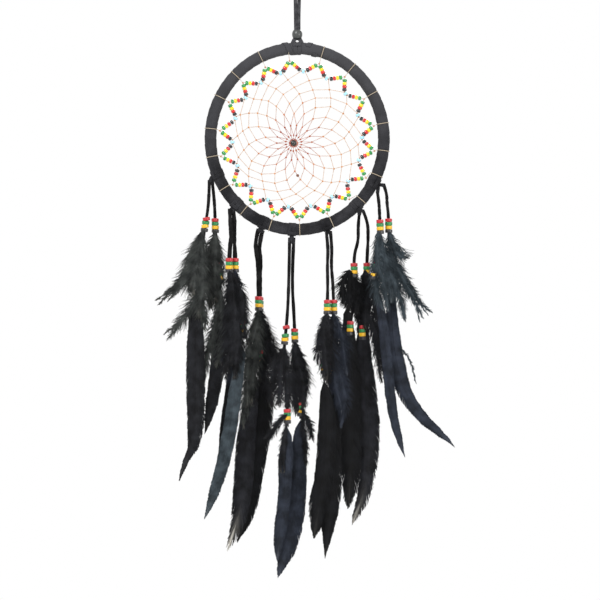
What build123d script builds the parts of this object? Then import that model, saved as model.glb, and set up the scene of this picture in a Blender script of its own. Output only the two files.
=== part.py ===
from build123d import *
import math
import os

os.makedirs("parts", exist_ok=True)

# Dream catcher: a cane hoop wrapped in suede, a beaded thread net inside it, and seven laces folded
# over the hoop, whose fourteen hanging strands carry painted beads and feathers.
# X is to the right, Z is up, and the front faces -Y. The origin is where the nail bears in the loop.

# Driving dimensions, in millimetres.
HOOP_CENTRE_Z = -148.5  # the hoop's middle, below the nail
HOOP_ACROSS = 78.0  # half width of the cane's centreline
HOOP_UP = 81.5  # half height of it, as the hoop is a little taller than wide
CANE_D = 8.0
BAND_D = 10.9  # cane with its suede wrap
WRAP_FIT = 0.05  # between cane and wrap
THREAD = 0.6  # thickness of the net's waxed thread
LACE_D = 2.6  # a folded suede lace
SEED_BEAD_D = 3.6
SEED_BEAD_L = 2.5
SEED_BEAD_PITCH = 2.6
SEED_BEAD_BORE = 1.15
DISC_BEAD_D = 6.6  # painted wooden bead on a strand
DISC_BEAD_L = 3.2
DISC_BEAD_PITCH = 3.3
DISC_BEAD_BORE = 4.3
QUILL_D = 1.2
QUILL_FRONT = 1.3  # a jammed quill runs this far in front of a bead's axis, the lace 0.75 behind it
TUFT_FRONT = 2.7  # a tuft's vane lies in front of the lace
TUFT_JOG = 1.6  # how far its root steps forward from the quill
VANE_T = 1.2


def export(builder, name):
    builder.part.label = name
    export_step(builder.part, f"parts/{name}.step")


# The hoop is an oval of four tangent arcs. Angles run clockwise from the top.
OVAL_SHIFT = (HOOP_UP - HOOP_ACROSS) / (2 - math.sqrt(2))
END_R = HOOP_UP - OVAL_SHIFT
SIDE_R = HOOP_ACROSS + OVAL_SHIFT
HOOP_PLANE = Plane(origin=(0, 0, HOOP_CENTRE_Z), x_dir=(1, 0, 0), z_dir=(0, -1, 0))


def band_point(angle):
    """Where the ray at that angle meets the cane's centreline, and the outward normal there."""
    across, up = math.sin(math.radians(angle)), math.cos(math.radians(angle))
    for centre, radius in (
        ((0, math.copysign(OVAL_SHIFT, up)), END_R),
        ((-math.copysign(OVAL_SHIFT, across), 0), SIDE_R),
    ):
        along = across * centre[0] + up * centre[1]
        reach = along + math.sqrt(along**2 - OVAL_SHIFT**2 + radius**2)
        normal = (
            (across * reach - centre[0]) / radius,
            (up * reach - centre[1]) / radius,
        )
        if radius == SIDE_R or abs(normal[1]) >= abs(normal[0]):
            break
    return Vector(across * reach, 0, up * reach + HOOP_CENTRE_Z), Vector(normal[0], 0, normal[1])


def band_plane(angle):
    """A plane across the band at that angle, with its normal along the cane."""
    point, outward = band_point(angle)
    return Plane(origin=point, x_dir=outward, z_dir=(-outward.Z, 0, outward.X))


with BuildLine(HOOP_PLANE) as cane_line:
    CenterArc((-OVAL_SHIFT, 0), SIDE_R, -45, 90)
    CenterArc((0, OVAL_SHIFT), END_R, 45, 90)
    CenterArc((OVAL_SHIFT, 0), SIDE_R, 135, 90)
    CenterArc((0, -OVAL_SHIFT), END_R, 225, 90)

with BuildPart() as hoop_core:
    with BuildSketch(cane_line.line ^ 0):
        Circle(CANE_D / 2)
    sweep(path=cane_line.line)
export(hoop_core, "hoop_core")

with BuildPart() as hoop_wrap:
    with BuildSketch(cane_line.line ^ 0):
        Circle(BAND_D / 2)
        Circle(CANE_D / 2 + WRAP_FIT, mode=Mode.SUBTRACT)
    sweep(path=cane_line.line)
export(hoop_wrap, "hoop_wrap")

# The hanging loop: one lace from the hitch up through the grey bead, knotted, parted round the nail
# and back down. The nail's top side carries it at the origin.
NAIL_D = 5.0
LOOP_HALF = 1.4  # half the distance between the two runs
NAIL_ARC_R = (NAIL_D + LACE_D) / 2
LOOP_END_Z = -59.6
LOOP_ROUTE = [
    (-LOOP_HALF, 0, LOOP_END_Z),
    (-LOOP_HALF, 0, -12),
    (-NAIL_ARC_R, 0, -3.8),
    (-NAIL_ARC_R, 0, LACE_D / 2),
    (NAIL_ARC_R, 0, LACE_D / 2),
    (NAIL_ARC_R, 0, -3.8),
    (LOOP_HALF, 0, -12),
    (LOOP_HALF, 0, LOOP_END_Z),
]
LOOP_RADII = [26.0, 7.0, NAIL_ARC_R - 0.02, NAIL_ARC_R - 0.02, 7.0, 26.0]
KNOT_TOP_Z, KNOT_BOTTOM_Z = -16.0, -23.0
BORE_FIT = 0.05


def lace_tube(route, radii, name):
    """A lace as a plain tube of straight runs joined by tangent arcs."""
    with BuildPart() as tube:
        with BuildLine() as path:
            FilletPolyline(*route, radius=radii)
        with BuildSketch(path.line ^ 0):
            Circle(LACE_D / 2)
        sweep(path=path.line)
    length = path.wire().length
    expected = math.pi * LACE_D**2 / 4 * length
    print(
        name,
        "length",
        round(length, 1),
        "volume/expected",
        round(tube.part.volume / expected, 4),
        "radii",
        [round(r, 1) for r in radii],
    )
    export(tube, name)


lace_tube(LOOP_ROUTE, LOOP_RADII, "hang_loop")

KNOT_R = 4.3
with BuildPart() as hang_knot:
    with Locations((0, 0, (KNOT_TOP_Z + KNOT_BOTTOM_Z) / 2)):
        Cylinder(KNOT_R, KNOT_TOP_Z - KNOT_BOTTOM_Z)
        fillet(hang_knot.edges().filter_by(GeomType.CIRCLE), 1.4)
    with Locations((-LOOP_HALF, 0, KNOT_BOTTOM_Z), (LOOP_HALF, 0, KNOT_BOTTOM_Z)):
        Cylinder(
            LACE_D / 2 + BORE_FIT,
            KNOT_TOP_Z - KNOT_BOTTOM_Z,
            align=(Align.CENTER, Align.CENTER, Align.MIN),
            mode=Mode.SUBTRACT,
        )
export(hang_knot, "hang_knot")

HANG_BEAD_Z, HANG_BEAD_D, HANG_BEAD_L = -54.4, 7.9, 8.2
with BuildPart() as hang_bead:
    with Locations((0, 0, HANG_BEAD_Z)):
        Cylinder(HANG_BEAD_D / 2, HANG_BEAD_L)
        fillet(hang_bead.edges().filter_by(GeomType.CIRCLE), 1.1)
        Cylinder(LOOP_HALF + LACE_D / 2 + BORE_FIT, HANG_BEAD_L, mode=Mode.SUBTRACT)
export(hang_bead, "hang_bead")

# The hitch that holds the hoop: two flat passes of lace round the band, free to roll on it.
HITCH_HALF = 3.7  # half width of the two passes side by side
HITCH_R = 7.0
HITCH_BORE_R = BAND_D / 2 + 0.35
HITCH_TOP_Z = LOOP_END_Z - 0.3
top_of_hoop = band_plane(0)
with BuildPart() as hang_hitch:
    with Locations(top_of_hoop.location):
        Cylinder(HITCH_R, 2 * HITCH_HALF)
    with Locations((0, 0, HITCH_TOP_Z)):
        Box(5.4, 2.6, 2, align=(Align.CENTER, Align.CENTER, Align.MAX))
    with Locations(top_of_hoop.location):
        Cylinder(HITCH_BORE_R, 2 * HITCH_HALF, mode=Mode.SUBTRACT)
export(hang_hitch, "hang_hitch")

# Lark's head hitches of the seven strand laces, tight on the band: (angle, half width).
STRAND_HITCHES = {
    1: (246.2, HITCH_HALF),
    2: (223.0, HITCH_HALF),
    3: (202.0, HITCH_HALF),
    4: (183.2, HITCH_HALF),
    5: (161.5, HITCH_HALF),
    6: (138.5, HITCH_HALF),
    7: (119.5, 4.7),
}
TIGHT_R = 6.7
TIGHT_BORE_R = BAND_D / 2 + 0.2
with BuildPart() as lace_hitches:
    for angle, half in STRAND_HITCHES.values():
        with BuildSketch(band_plane(angle).offset(-half)):
            Circle(TIGHT_R)
            Circle(TIGHT_BORE_R, mode=Mode.SUBTRACT)
        extrude(amount=2 * half)
        with BuildSketch(band_plane(angle).offset(-0.2)):
            Circle(TIGHT_R)
            Circle(TIGHT_R - 0.4, mode=Mode.SUBTRACT)
        extrude(amount=0.4, mode=Mode.SUBTRACT)
export(lace_hitches, "lace_hitches")

# The net. Eighteen apexes hold beaded legs, which meet at blue beads, and knotted rows run inward
# from those to the centre bead, each row turned a little further clockwise.
APEXES = [
    -5.7, 16.4, 37.6, 59.1, 79.8, 97.8, 118.3, 138.0, 157.5,
    178.4, 197.3, 216.7, 235.9, 258.2, 276.7, 298.4, 315.9, 335.9,
]  # fmt: skip
PUSHED_ASIDE = {118.3: 114.5, 138.0: 133.5}  # thread turns that a lace hitch pushes along the hoop
APEX_ACROSS, APEX_UP, APEX_DROP = 70.2, 71.8, 1.0
VERTEX_ACROSS, VERTEX_UP = 58.3, 61.3
BLUE_HALF = 1.7  # half the straight stretch of thread through a blue bead
SHORT_LEG = 12.4  # a leg with no thread to spare between its beads
FIRST_BEAD = 2.65  # on such a leg, from the apex to the green bead's middle
COLUMNS = len(APEXES)
NET_ROWS = [(54.3, 6.5), (48.6, 13.0), (43.0, 19.5), (35.0, 26.0), (26.0, 33.5), (15.5, 43.0), (7.0, 56.0)]
WEB_CENTRE = (-3.3, -3.7)  # the net's middle, from the hoop's
WOUND_R = 3.9  # thread wound round the centre bead
CENTRE_BEAD_R = 2.8


def polar(angle, across, up):
    return across * math.sin(math.radians(angle)), up * math.cos(math.radians(angle))


def apex(column):
    x, up = polar(APEXES[column % COLUMNS], APEX_ACROSS, APEX_UP)
    return Vector(x, up - APEX_DROP)


def vertex_angle(column):
    here, after = APEXES[column % COLUMNS], APEXES[(column + 1) % COLUMNS]
    return here + (after - here) % 360 / 2


def vertex(column, side=0):
    """A blue bead's place, or an end of the thread through it: side -1 or 1."""
    angle = vertex_angle(column)
    x, up = polar(angle, VERTEX_ACROSS, VERTEX_UP)
    along = polar(angle + 90, 1, 1)
    return Vector(x + side * BLUE_HALF * along[0], up + side * BLUE_HALF * along[1])


def net_knot(row, column):
    """A knot of the net. Rows even out and centre on the middle bead as they run inward."""
    radius, turn = NET_ROWS[row]
    inward = (row + 1) / len(NET_ROWS)
    even = 20.0 * (column % COLUMNS) + 5.0
    uneven = vertex_angle(column)
    lean = (uneven - even + 180) % 360 - 180
    wander = 1 + 0.022 * math.sin(5.1 * row + 3.7 * (column % COLUMNS))
    x, up = polar(even + lean * (1 - inward) + turn, radius * wander, radius * wander)
    return Vector(x + WEB_CENTRE[0] * inward, up + WEB_CENTRE[1] * inward)


def net_lines():
    """Every straight piece of thread in the net, as pairs of points."""
    lines = []
    for column in range(COLUMNS):
        angle = APEXES[column]
        point, outward = band_point(PUSHED_ASIDE.get(angle, angle))
        edge = Vector(point.X, point.Z - HOOP_CENTRE_Z) - Vector(outward.X, outward.Z) * (
            BAND_D / 2 + 1.5 * THREAD
        )
        lines.append((edge, apex(column)))
        lines.append((apex(column), vertex(column, -1)))
        lines.append((apex(column + 1), vertex(column, 1)))
        lines.append((vertex(column, -1), vertex(column, 1)))
        lines.append((vertex(column, 1), net_knot(0, column)))
        lines.append((vertex(column + 1, -1), net_knot(0, column)))
        for row in range(1, len(NET_ROWS)):
            lines.append((net_knot(row - 1, column), net_knot(row, column)))
            lines.append((net_knot(row - 1, column + 1), net_knot(row, column)))
        centre = Vector(*WEB_CENTRE)
        last = net_knot(len(NET_ROWS) - 1, column)
        lines.append((last, centre + (last - centre).normalized() * (WOUND_R - 0.3)))
    return lines


NET_KNOT_R = 0.55


def strip(start, end):
    """A straight piece of thread, flat in the hoop's plane."""
    middle, way = (start + end) / 2, end - start
    place = Location((middle.X, middle.Y), math.degrees(math.atan2(way.Y, way.X)))
    return Rectangle(way.length, THREAD, mode=Mode.PRIVATE).moved(place)


knots = [apex(column) for column in range(COLUMNS)]
knots += [vertex(column, side) for column in range(COLUMNS) for side in (-1, 1)]
knots += [net_knot(row, column) for row in range(len(NET_ROWS)) for column in range(COLUMNS)]
with BuildPart() as web_thread:
    with BuildSketch(HOOP_PLANE):
        add([strip(start, end) for start, end in net_lines()])
        with Locations(*knots):
            Circle(NET_KNOT_R)
        with Locations(WEB_CENTRE):
            Circle(WOUND_R)
            Circle(CENTRE_BEAD_R + BORE_FIT, mode=Mode.SUBTRACT)
    extrude(amount=THREAD / 2, both=True)
export(web_thread, "web_thread")

with BuildPart() as web_anchor_turns:
    for angle in APEXES:
        with Locations(band_plane(PUSHED_ASIDE.get(angle, angle)).location):
            Torus(BAND_D / 2 + THREAD / 2 + 0.03, THREAD / 2)
export(web_anchor_turns, "web_anchor_turns")

with BuildPart() as seed_bead:
    Cylinder(SEED_BEAD_D / 2, SEED_BEAD_L)
    fillet(seed_bead.edges().filter_by(GeomType.CIRCLE), 0.8)
    Cylinder(SEED_BEAD_BORE / 2, SEED_BEAD_L, mode=Mode.SUBTRACT)


def on_thread(start, end, distance):
    """The place of a bead that far along a piece of thread, its bore along it."""
    way = (end - start).normalized()
    at = start + way * distance
    return Plane(origin=(at.X, 0, at.Y + HOOP_CENTRE_Z), z_dir=(way.X, 0, way.Y)).location


def on_leg(top, bottom, order):
    """The place of a leg's bead. What thread a longer leg has to spare is shared out."""
    spare = (bottom - top).length - SHORT_LEG
    first = FIRST_BEAD + 0.42 * spare
    return on_thread(top, bottom, first + order * (SEED_BEAD_PITCH + 0.1 * spare))


for order, colour in enumerate(["green", "yellow", "red", "black"]):
    with BuildPart() as web_beads:
        for column in range(COLUMNS):
            with Locations(
                on_leg(apex(column), vertex(column, -1), order),
                on_leg(apex(column + 1), vertex(column, 1), order),
            ):
                add(seed_bead.part)
    export(web_beads, f"web_beads_{colour}")

with BuildPart() as web_beads_blue:
    for column in range(COLUMNS):
        with Locations(on_thread(vertex(column, -1), vertex(column, 1), BLUE_HALF)):
            add(seed_bead.part)
export(web_beads_blue, "web_beads_blue")

# The dark bead at the net's middle, and a small brown one caught on a thread below it.
BROWN_ROW, BROWN_COLUMN = 3, 7
with BuildPart() as web_middle_beads:
    with Locations((WEB_CENTRE[0], 0, WEB_CENTRE[1] + HOOP_CENTRE_Z)):
        Sphere(CENTRE_BEAD_R)
        Cylinder(0.6, 2 * CENTRE_BEAD_R, mode=Mode.SUBTRACT)
    brown_start = net_knot(BROWN_ROW, BROWN_COLUMN)
    brown_end = net_knot(BROWN_ROW + 1, BROWN_COLUMN)
    with Locations(on_thread(brown_start, brown_end, (brown_end - brown_start).length / 2)):
        Sphere(1.4)
        Cylinder(SEED_BEAD_BORE / 2, 2.8, mode=Mode.SUBTRACT)
export(web_middle_beads, "web_middle_beads")

# The strands. Each hangs in its own layer of depth, so that a swaying strand passes its neighbour.
# lace: its route from the hitch, through both bead stacks. upper, lower: height of the first bead
# of each stack. tuft, blade, side: the vane's midrib as (x, z) from under its beads, and its width.
STRANDS = {
    "1a": {
        "depth": -3.5,
        "lace": [
            (-79.0, -1.8, -185.5), (-79.3, -2.4, -199.0), (-80.4, -2.75, -213.5),
            (-84.8, -2.75, -238.0), (-86.4, -2.75, -259.5), (-88.9, -2.75, -281.0),
        ],
        "upper": -220.5,
        "lower": -268.0,
        "tuft": [(-90, -243), (-97, -259), (-104, -276), (-119, -287)],
        "tuft_width": 10,
        "blade": [(-90.5, -300), (-91, -340), (-91, -385), (-93, -420), (-102, -452)],
        "blade_width": 14,
        "side": [(-97, -298), (-108, -320), (-119, -330)],
    },
    "1b": {
        "depth": 3.5,
        "lace": [
            (-76.5, 1.8, -187.3), (-75.0, 3.0, -200.3), (-74.2, 4.25, -214.0),
            (-73.6, 4.25, -238.0), (-70.6, 4.25, -248.5), (-69.3, 4.25, -281.0),
        ],
        "upper": -221.4,
        "lower": -270.0,
        "loose": {"node": "loose_bead_1b", "stack": "lower", "at": [-259.2]},
        "tuft": [(-77, -250), (-80, -270), (-81, -293)],
        "tuft_width": 11,
        "blade": [(-68, -302), (-72, -345), (-77.5, -383), (-83, -419)],
        "blade_width": 10,
    },
    "2a": {
        "depth": -17.5,
        "lace": [
            (-60.5, -4.2, -211.5), (-60.3, -8.6, -222.0), (-58.9, -12.6, -234.0),
            (-60.4, -16.75, -249.0), (-61.2, -16.75, -274.0), (-55.6, -16.75, -290.0),
            (-50.0, -16.75, -306.5), (-48.4, -16.75, -328.0),
        ],
        "upper": -257.4,
        "lower": -314.0,
        "tuft": [(-58, -286), (-54, -302), (-46, -319)],
        "tuft_width": 14,
        "blade": [(-50, -345), (-58, -392), (-66, -437), (-78, -470), (-84.5, -494)],
        "blade_width": 11,
    },
    "2b": {
        "depth": -10.5,
        "lace": [
            (-57.3, -4.0, -214.0), (-56.0, -5.3, -224.5), (-56.7, -7.2, -236.0),
            (-55.8, -9.75, -250.0), (-55.3, -9.75, -275.0), (-56.4, -9.75, -292.0),
            (-55.0, -9.75, -309.0), (-54.4, -9.75, -330.5),
        ],
        "upper": -257.4,
        "lower": -317.0,
        "tuft": [(-58, -287), (-62, -300), (-62, -316)],
        "tuft_width": 12,
        "blade": [(-54, -350), (-57, -392), (-63, -432), (-73, -470)],
        "blade_width": 10,
    },
    "3a": {
        "depth": 10.5,
        "lace": [
            (-34.7, 4.0, -229.3), (-38.2, 5.6, -240.0), (-36.4, 8.4, -254.0),
            (-34.9, 11.25, -268.0), (-35.0, 11.25, -309.5), (-38.4, 11.25, -326.0),
            (-39.6, 11.25, -353.0),
        ],
        "upper": -291.6,
        "lower": -339.0,
        "tuft": [(-38, -322), (-44, -338), (-46, -354)],
        "tuft_width": 12,
        "blade": [(-41.5, -380), (-42.5, -420), (-46, -455), (-50, -485), (-56, -513)],
        "blade_width": 15,
    },
    "3b": {
        "depth": 17.5,
        "lace": [
            (-31.1, 4.0, -230.7), (-34.6, 7.5, -242.0), (-33.0, 12.8, -258.0),
            (-33.9, 18.25, -275.0), (-33.6, 18.25, -309.0), (-31.8, 18.25, -326.0),
            (-32.8, 18.25, -354.5),
        ],
        "upper": -292.4,
        "lower": -340.5,
        "tuft": [(-30, -320), (-22, -336), (-14, -359)],
        "tuft_width": 12,
        "blade": [(-30.5, -385), (-31.5, -420), (-35.5, -455), (-40, -485), (-43, -508)],
        "blade_width": 15,
    },
    "4a": {
        "depth": -3.5,
        "lace": [
            (-6.8, -1.2, -237.2), (-7.4, -2.75, -271.5), (-8.6, -2.75, -306.0),
            (-12.2, -2.75, -340.0), (-11.2, -2.75, -360.0), (-9.0, -2.75, -380.0),
            (-8.9, -2.75, -406.5),
        ],
        "upper": -325.4,
        "lower": -392.9,
        "loose": {"node": "loose_bead_4a", "stack": "upper", "at": [-318.0]},
        "tuft": [(-17, -348), (-18, -362), (-15, -384)],
        "tuft_width": 12,
        "blade": [(-9.5, -425), (-10.5, -452), (-14.5, -491), (-17.5, -528)],
        "blade_width": 10,
        "side": [(-16, -410), (-25, -417)],
    },
    "4b": {
        "depth": 3.5,
        "lace": [
            (-3.0, 1.2, -237.2), (-5.0, 4.25, -274.0), (-2.8, 4.25, -308.0),
            (-1.8, 4.25, -338.0), (-0.6, 4.25, -356.0), (2.8, 4.25, -374.0),
            (3.4, 4.25, -400.5),
        ],
        "upper": -320.6,
        "lower": -386.7,
        "tuft": [(5, -350), (9, -364), (8, -386)],
        "tuft_width": 12,
        "blade": [(2, -418), (0.7, -452), (-2.5, -483), (-7, -512), (-17, -546)],
        "blade_width": 13,
        "side": [(9, -407), (14, -418)],
    },
    "5a": {
        "depth": -17.5,
        "lace": [
            (26.1, -4.0, -232.6), (27.9, -8.0, -246.0), (26.9, -12.6, -262.0),
            (27.4, -16.75, -279.0), (26.6, -16.75, -312.0), (23.6, -16.75, -328.0),
            (24.2, -16.75, -362.5),
        ],
        "upper": -294.8,
        "lower": -348.1,
        "tuft": [(25, -322), (21, -334), (19, -348)],
        "tuft_width": 9,
        "blade": [(26, -400), (26.5, -440), (22.5, -480), (16, -505.5)],
        "blade_width": 15,
    },
    "5b": {
        "depth": -10.5,
        "lace": [
            (29.7, -4.0, -231.4), (31.4, -5.6, -246.0), (30.4, -7.8, -262.5),
            (32.2, -9.75, -280.0), (32.9, -9.75, -312.5), (30.8, -9.75, -330.0),
            (31.7, -9.75, -365.5),
        ],
        "upper": -294.8,
        "lower": -351.2,
        "tuft": [(35, -318), (38, -328), (37, -342)],
        "tuft_width": 9,
        "blade": [(32.3, -410), (32.3, -460), (29.5, -500), (25, -529.5)],
        "blade_width": 14,
    },
    "6a": {
        "depth": 10.5,
        "lace": [
            (56.1, 4.0, -214.8), (54.8, 5.8, -226.0), (55.3, 8.6, -240.0),
            (51.0, 11.25, -253.5), (51.9, 11.25, -279.0), (54.0, 11.25, -292.5),
            (48.4, 11.25, -305.5), (47.0, 11.25, -329.0),
        ],
        "upper": -261.6,
        "lower": -314.0,
        "tuft": [(49, -286), (43, -296), (40, -307)],
        "tuft_width": 12,
        "blade": [(45.5, -375), (45.5, -425), (46.5, -452), (44.8, -476)],
        "blade_width": 18,
    },
    "6b": {
        "depth": 17.5,
        "lace": [
            (58.9, 4.0, -212.2), (63.6, 6.8, -222.0), (64.2, 12.0, -237.0),
            (63.4, 18.25, -253.0), (62.6, 18.25, -279.0), (61.6, 18.25, -295.0),
            (58.6, 18.25, -309.0), (59.2, 18.25, -333.0),
        ],
        "upper": -261.2,
        "lower": -318.0,
        "tuft": [(64.5, -290), (67, -303), (68, -317)],
        "tuft_width": 11,
        "blade": [(65, -375), (66, -425), (63, -462), (51, -497)],
        "blade_width": 18,
    },
    "7a": {
        "depth": -3.5,
        "lace": [
            (72.0, -1.6, -195.7), (73.5, -2.2, -205.0), (74.0, -2.75, -215.5),
            (75.0, -2.75, -238.5), (73.0, -2.75, -247.5), (67.7, -2.75, -277.5),
        ],
        "upper": -222.6,
        "lower": -270.3,
        "loose": {"node": "loose_beads_7a", "stack": "lower", "at": [-258.6, -262.7]},
        "tuft": [(78, -250), (81, -262), (81, -277)],
        "tuft_width": 12,
        "blade": [(71.5, -287), (77, -308), (81.5, -355), (84.5, -388), (90, -410), (98.5, -439)],
        "blade_width": 10,
    },
    "7b": {
        "depth": 3.5,
        "lace": [
            (77.6, 1.6, -188.9), (80.7, 3.0, -197.0), (80.9, 4.25, -206.5),
            (82.2, 4.25, -216.0), (82.6, 4.25, -239.0), (84.4, 4.25, -256.0),
            (83.8, 4.25, -279.5),
        ],
        "upper": -221.4,
        "lower": -265.5,
        "tuft": [(87, -250), (93, -266), (105, -285), (121, -298)],
        "tuft_width": 12,
        "blade": [(85.3, -310), (89, -346.5), (95, -372), (107, -392), (123, -409), (143.5, -427)],
        "blade_width": 12,
    },
}  # fmt: skip

BEADS_A_STACK = 4
LOOSE_TRAVEL = 12.0  # free lace that a loose bead may slide up
QUILL_BELOW = 3.5  # quill between the last bead and the vane


def arc_radii(route):
    """Each corner's radius: 0.45 of the shorter run beside it, over the tangent of half the turn."""
    points = [Vector(*p) for p in route]
    radii = []
    for before, corner, after in zip(points, points[1:], points[2:]):
        shorter = min((corner - before).length, (after - corner).length)
        half_turn = math.radians((corner - before).get_angle(after - corner) / 2)
        radii.append(0.45 * shorter / math.tan(half_turn))
    return radii


def on_lace(strand, z, forward=0.0):
    """The place on a strand's bead axis at that height, facing along the lace there."""
    for a, b in zip(strand["lace"], strand["lace"][1:]):
        if b[2] <= z <= a[2]:
            break
    x = a[0] + (b[0] - a[0]) * (z - a[2]) / (b[2] - a[2])
    way = Vector(a[0] - b[0], 0, a[2] - b[2])
    return Plane(origin=(x, strand["depth"] - forward, z), x_dir=(0, 1, 0), z_dir=way)


def stack_heights(strand, stack):
    """Heights of the jammed beads of a stack; loose ones stand apart from it."""
    loose = strand.get("loose", {"stack": None})
    count = BEADS_A_STACK - (len(loose["at"]) if loose["stack"] == stack else 0)
    return [strand[stack] - order * DISC_BEAD_PITCH for order in range(count)]


def vane(route, width, front):
    """A flat vane along a smooth midrib, narrow at its root, full along its length, pointed."""
    shape = [(0.0, 0.12), (0.15, 0.85), (0.4, 1.0), (0.7, 0.95), (0.9, 0.6), (1.0, 0.1)]
    midrib = Spline(*route, mode=Mode.PRIVATE)
    edges = []
    for side in (-1, 1):
        edge = []
        for along, share in shape:
            normal = Vector(-(midrib % along).Y, (midrib % along).X)
            edge.append((midrib @ along) + normal * (side * share * width / 2))
        edges.append(edge)
    with BuildSketch(Plane.XZ.offset(-front)) as outline:
        with BuildLine():
            Spline(*edges[0])
            Spline(*edges[1])
            Line(edges[0][0], edges[1][0])
            Line(edges[0][-1], edges[1][-1])
        make_face()
    extrude(outline.sketch, amount=VANE_T / 2, both=True)


def quill(strand, stack):
    """A quill jammed through a stack beside the lace. Returns where it ends, as (x, z)."""
    heights = stack_heights(strand, stack)
    top = on_lace(strand, heights[0], QUILL_FRONT)
    length = heights[0] - heights[-1] + DISC_BEAD_L + QUILL_BELOW
    with Locations(top.offset(DISC_BEAD_L / 2 + 0.5).location):
        Cylinder(
            QUILL_D / 2, length + 0.5, align=(Align.CENTER, Align.CENTER, Align.MAX)
        )
    end = top.offset(DISC_BEAD_L / 2 - length).origin
    return end.X, end.Z


with BuildPart() as disc_bead:
    Cylinder(DISC_BEAD_D / 2, DISC_BEAD_L)
    fillet(disc_bead.edges().filter_by(GeomType.CIRCLE), 0.6)
    Cylinder(DISC_BEAD_BORE / 2, DISC_BEAD_L, mode=Mode.SUBTRACT)

for name, strand in STRANDS.items():
    lace_tube(strand["lace"], arc_radii(strand["lace"]), f"strand_{name}_lace")

    with BuildPart() as beads:
        heights = stack_heights(strand, "upper") + stack_heights(strand, "lower")
        with Locations(*[on_lace(strand, z).location for z in heights]):
            add(disc_bead.part)
    export(beads, f"strand_{name}_beads")

    loose = strand.get("loose")
    if loose:
        with BuildPart() as loose_beads:
            with Locations(*[on_lace(strand, z).location for z in loose["at"]]):
                add(disc_bead.part)
        export(loose_beads, loose["node"])

    with BuildPart() as feathers:
        root = quill(strand, "upper")
        vane([root] + strand["tuft"], strand["tuft_width"], strand["depth"] - TUFT_FRONT)
        with Locations((root[0], strand["depth"] - TUFT_FRONT, root[1])):
            Box(QUILL_D, TUFT_JOG, 2.5, align=(Align.CENTER, Align.MIN, Align.MIN))
        lowest = stack_heights(strand, "lower")[-1] - DISC_BEAD_L
        highest = strand["lower"] + DISC_BEAD_L
        if loose and loose["stack"] == "lower":
            highest = loose["at"][0] + LOOSE_TRAVEL
        with Locations(on_lace(strand, lowest + 0.1).location):
            Cylinder(
                DISC_BEAD_D / 2 + 0.5,
                highest - lowest,
                align=(Align.CENTER, Align.CENTER, Align.MIN),
                mode=Mode.SUBTRACT,
            )
        root = quill(strand, "lower")
        vane([root] + strand["blade"], strand["blade_width"], strand["depth"] - QUILL_FRONT)
        if "side" in strand:
            vane([root] + strand["side"], 7, strand["depth"] - QUILL_FRONT)
    export(feathers, f"strand_{name}_feathers")
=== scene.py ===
import math
import random

import bpy
from mathutils import Matrix, Vector, noise


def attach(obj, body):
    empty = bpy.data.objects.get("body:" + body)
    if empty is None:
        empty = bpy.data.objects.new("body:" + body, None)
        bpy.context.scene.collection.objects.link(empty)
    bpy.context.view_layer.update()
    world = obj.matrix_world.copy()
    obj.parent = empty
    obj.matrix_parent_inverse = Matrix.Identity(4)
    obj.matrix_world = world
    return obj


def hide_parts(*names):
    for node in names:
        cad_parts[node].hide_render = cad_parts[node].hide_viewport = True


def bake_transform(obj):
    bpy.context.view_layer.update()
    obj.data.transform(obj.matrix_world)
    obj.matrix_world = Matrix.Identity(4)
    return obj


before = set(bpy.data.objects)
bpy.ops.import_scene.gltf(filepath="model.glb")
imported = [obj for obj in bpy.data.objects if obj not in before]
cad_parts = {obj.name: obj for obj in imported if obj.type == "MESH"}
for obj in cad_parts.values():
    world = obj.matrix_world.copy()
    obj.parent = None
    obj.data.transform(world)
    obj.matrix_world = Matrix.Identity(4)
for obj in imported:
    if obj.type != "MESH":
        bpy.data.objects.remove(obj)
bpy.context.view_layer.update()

# ---- Camera, light and floor ----
# The catcher hangs in a white studio and is looked at straight from the front, from far back. It is
# lit by a bright room and three round soft boxes: one high at the left, weaker ones at the right
# and behind.
MM = 0.001
VIEW_WIDTH = 540 * MM
VIEW_MIDDLE_X = 2.5 * MM
VIEW_MIDDLE_Z = -293.4 * MM
VIEW_DISTANCE = 2.6
camera_data = bpy.data.cameras.new("camera")
camera_data.lens = camera_data.sensor_width * VIEW_DISTANCE / VIEW_WIDTH
camera_data.clip_end = 20
camera = bpy.data.objects.new("camera", camera_data)
camera.location = (VIEW_MIDDLE_X, -VIEW_DISTANCE, VIEW_MIDDLE_Z)
camera.rotation_euler = (math.radians(90), 0, 0)
bpy.context.collection.objects.link(camera)
bpy.context.scene.camera = camera
bpy.context.scene.view_settings.view_transform = "Standard"

for name, place, size, watts in (
    ("key_light", (-0.9, -1.5, 0.9), 0.9, 26),
    ("fill_light", (1.3, -1.2, -0.1), 1.0, 10),
    ("back_light", (0.3, 1.4, 0.6), 1.0, 14),
):
    light_data = bpy.data.lights.new(name, "AREA")
    light_data.shape = "DISK"
    light_data.size = size
    light_data.energy = watts
    light = bpy.data.objects.new(name, light_data)
    light.location = place
    aim = Vector((0, 0, VIEW_MIDDLE_Z)) - Vector(place)
    light.rotation_euler = aim.to_track_quat("-Z", "Y").to_euler()
    bpy.context.collection.objects.link(light)

room = bpy.data.worlds.new("white_room")
room.use_nodes = True
room.node_tree.nodes["Background"].inputs["Color"].default_value = (1, 1, 1, 1)
bpy.context.scene.world = room


def to_linear(hex_colour):
    """An sRGB hex colour as linear red, green, blue and full alpha."""
    levels = [int(hex_colour[i : i + 2], 16) / 255 for i in (1, 3, 5)]
    return [c / 12.92 if c <= 0.04045 else ((c + 0.055) / 1.055) ** 2.4 for c in levels] + [1]


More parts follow.
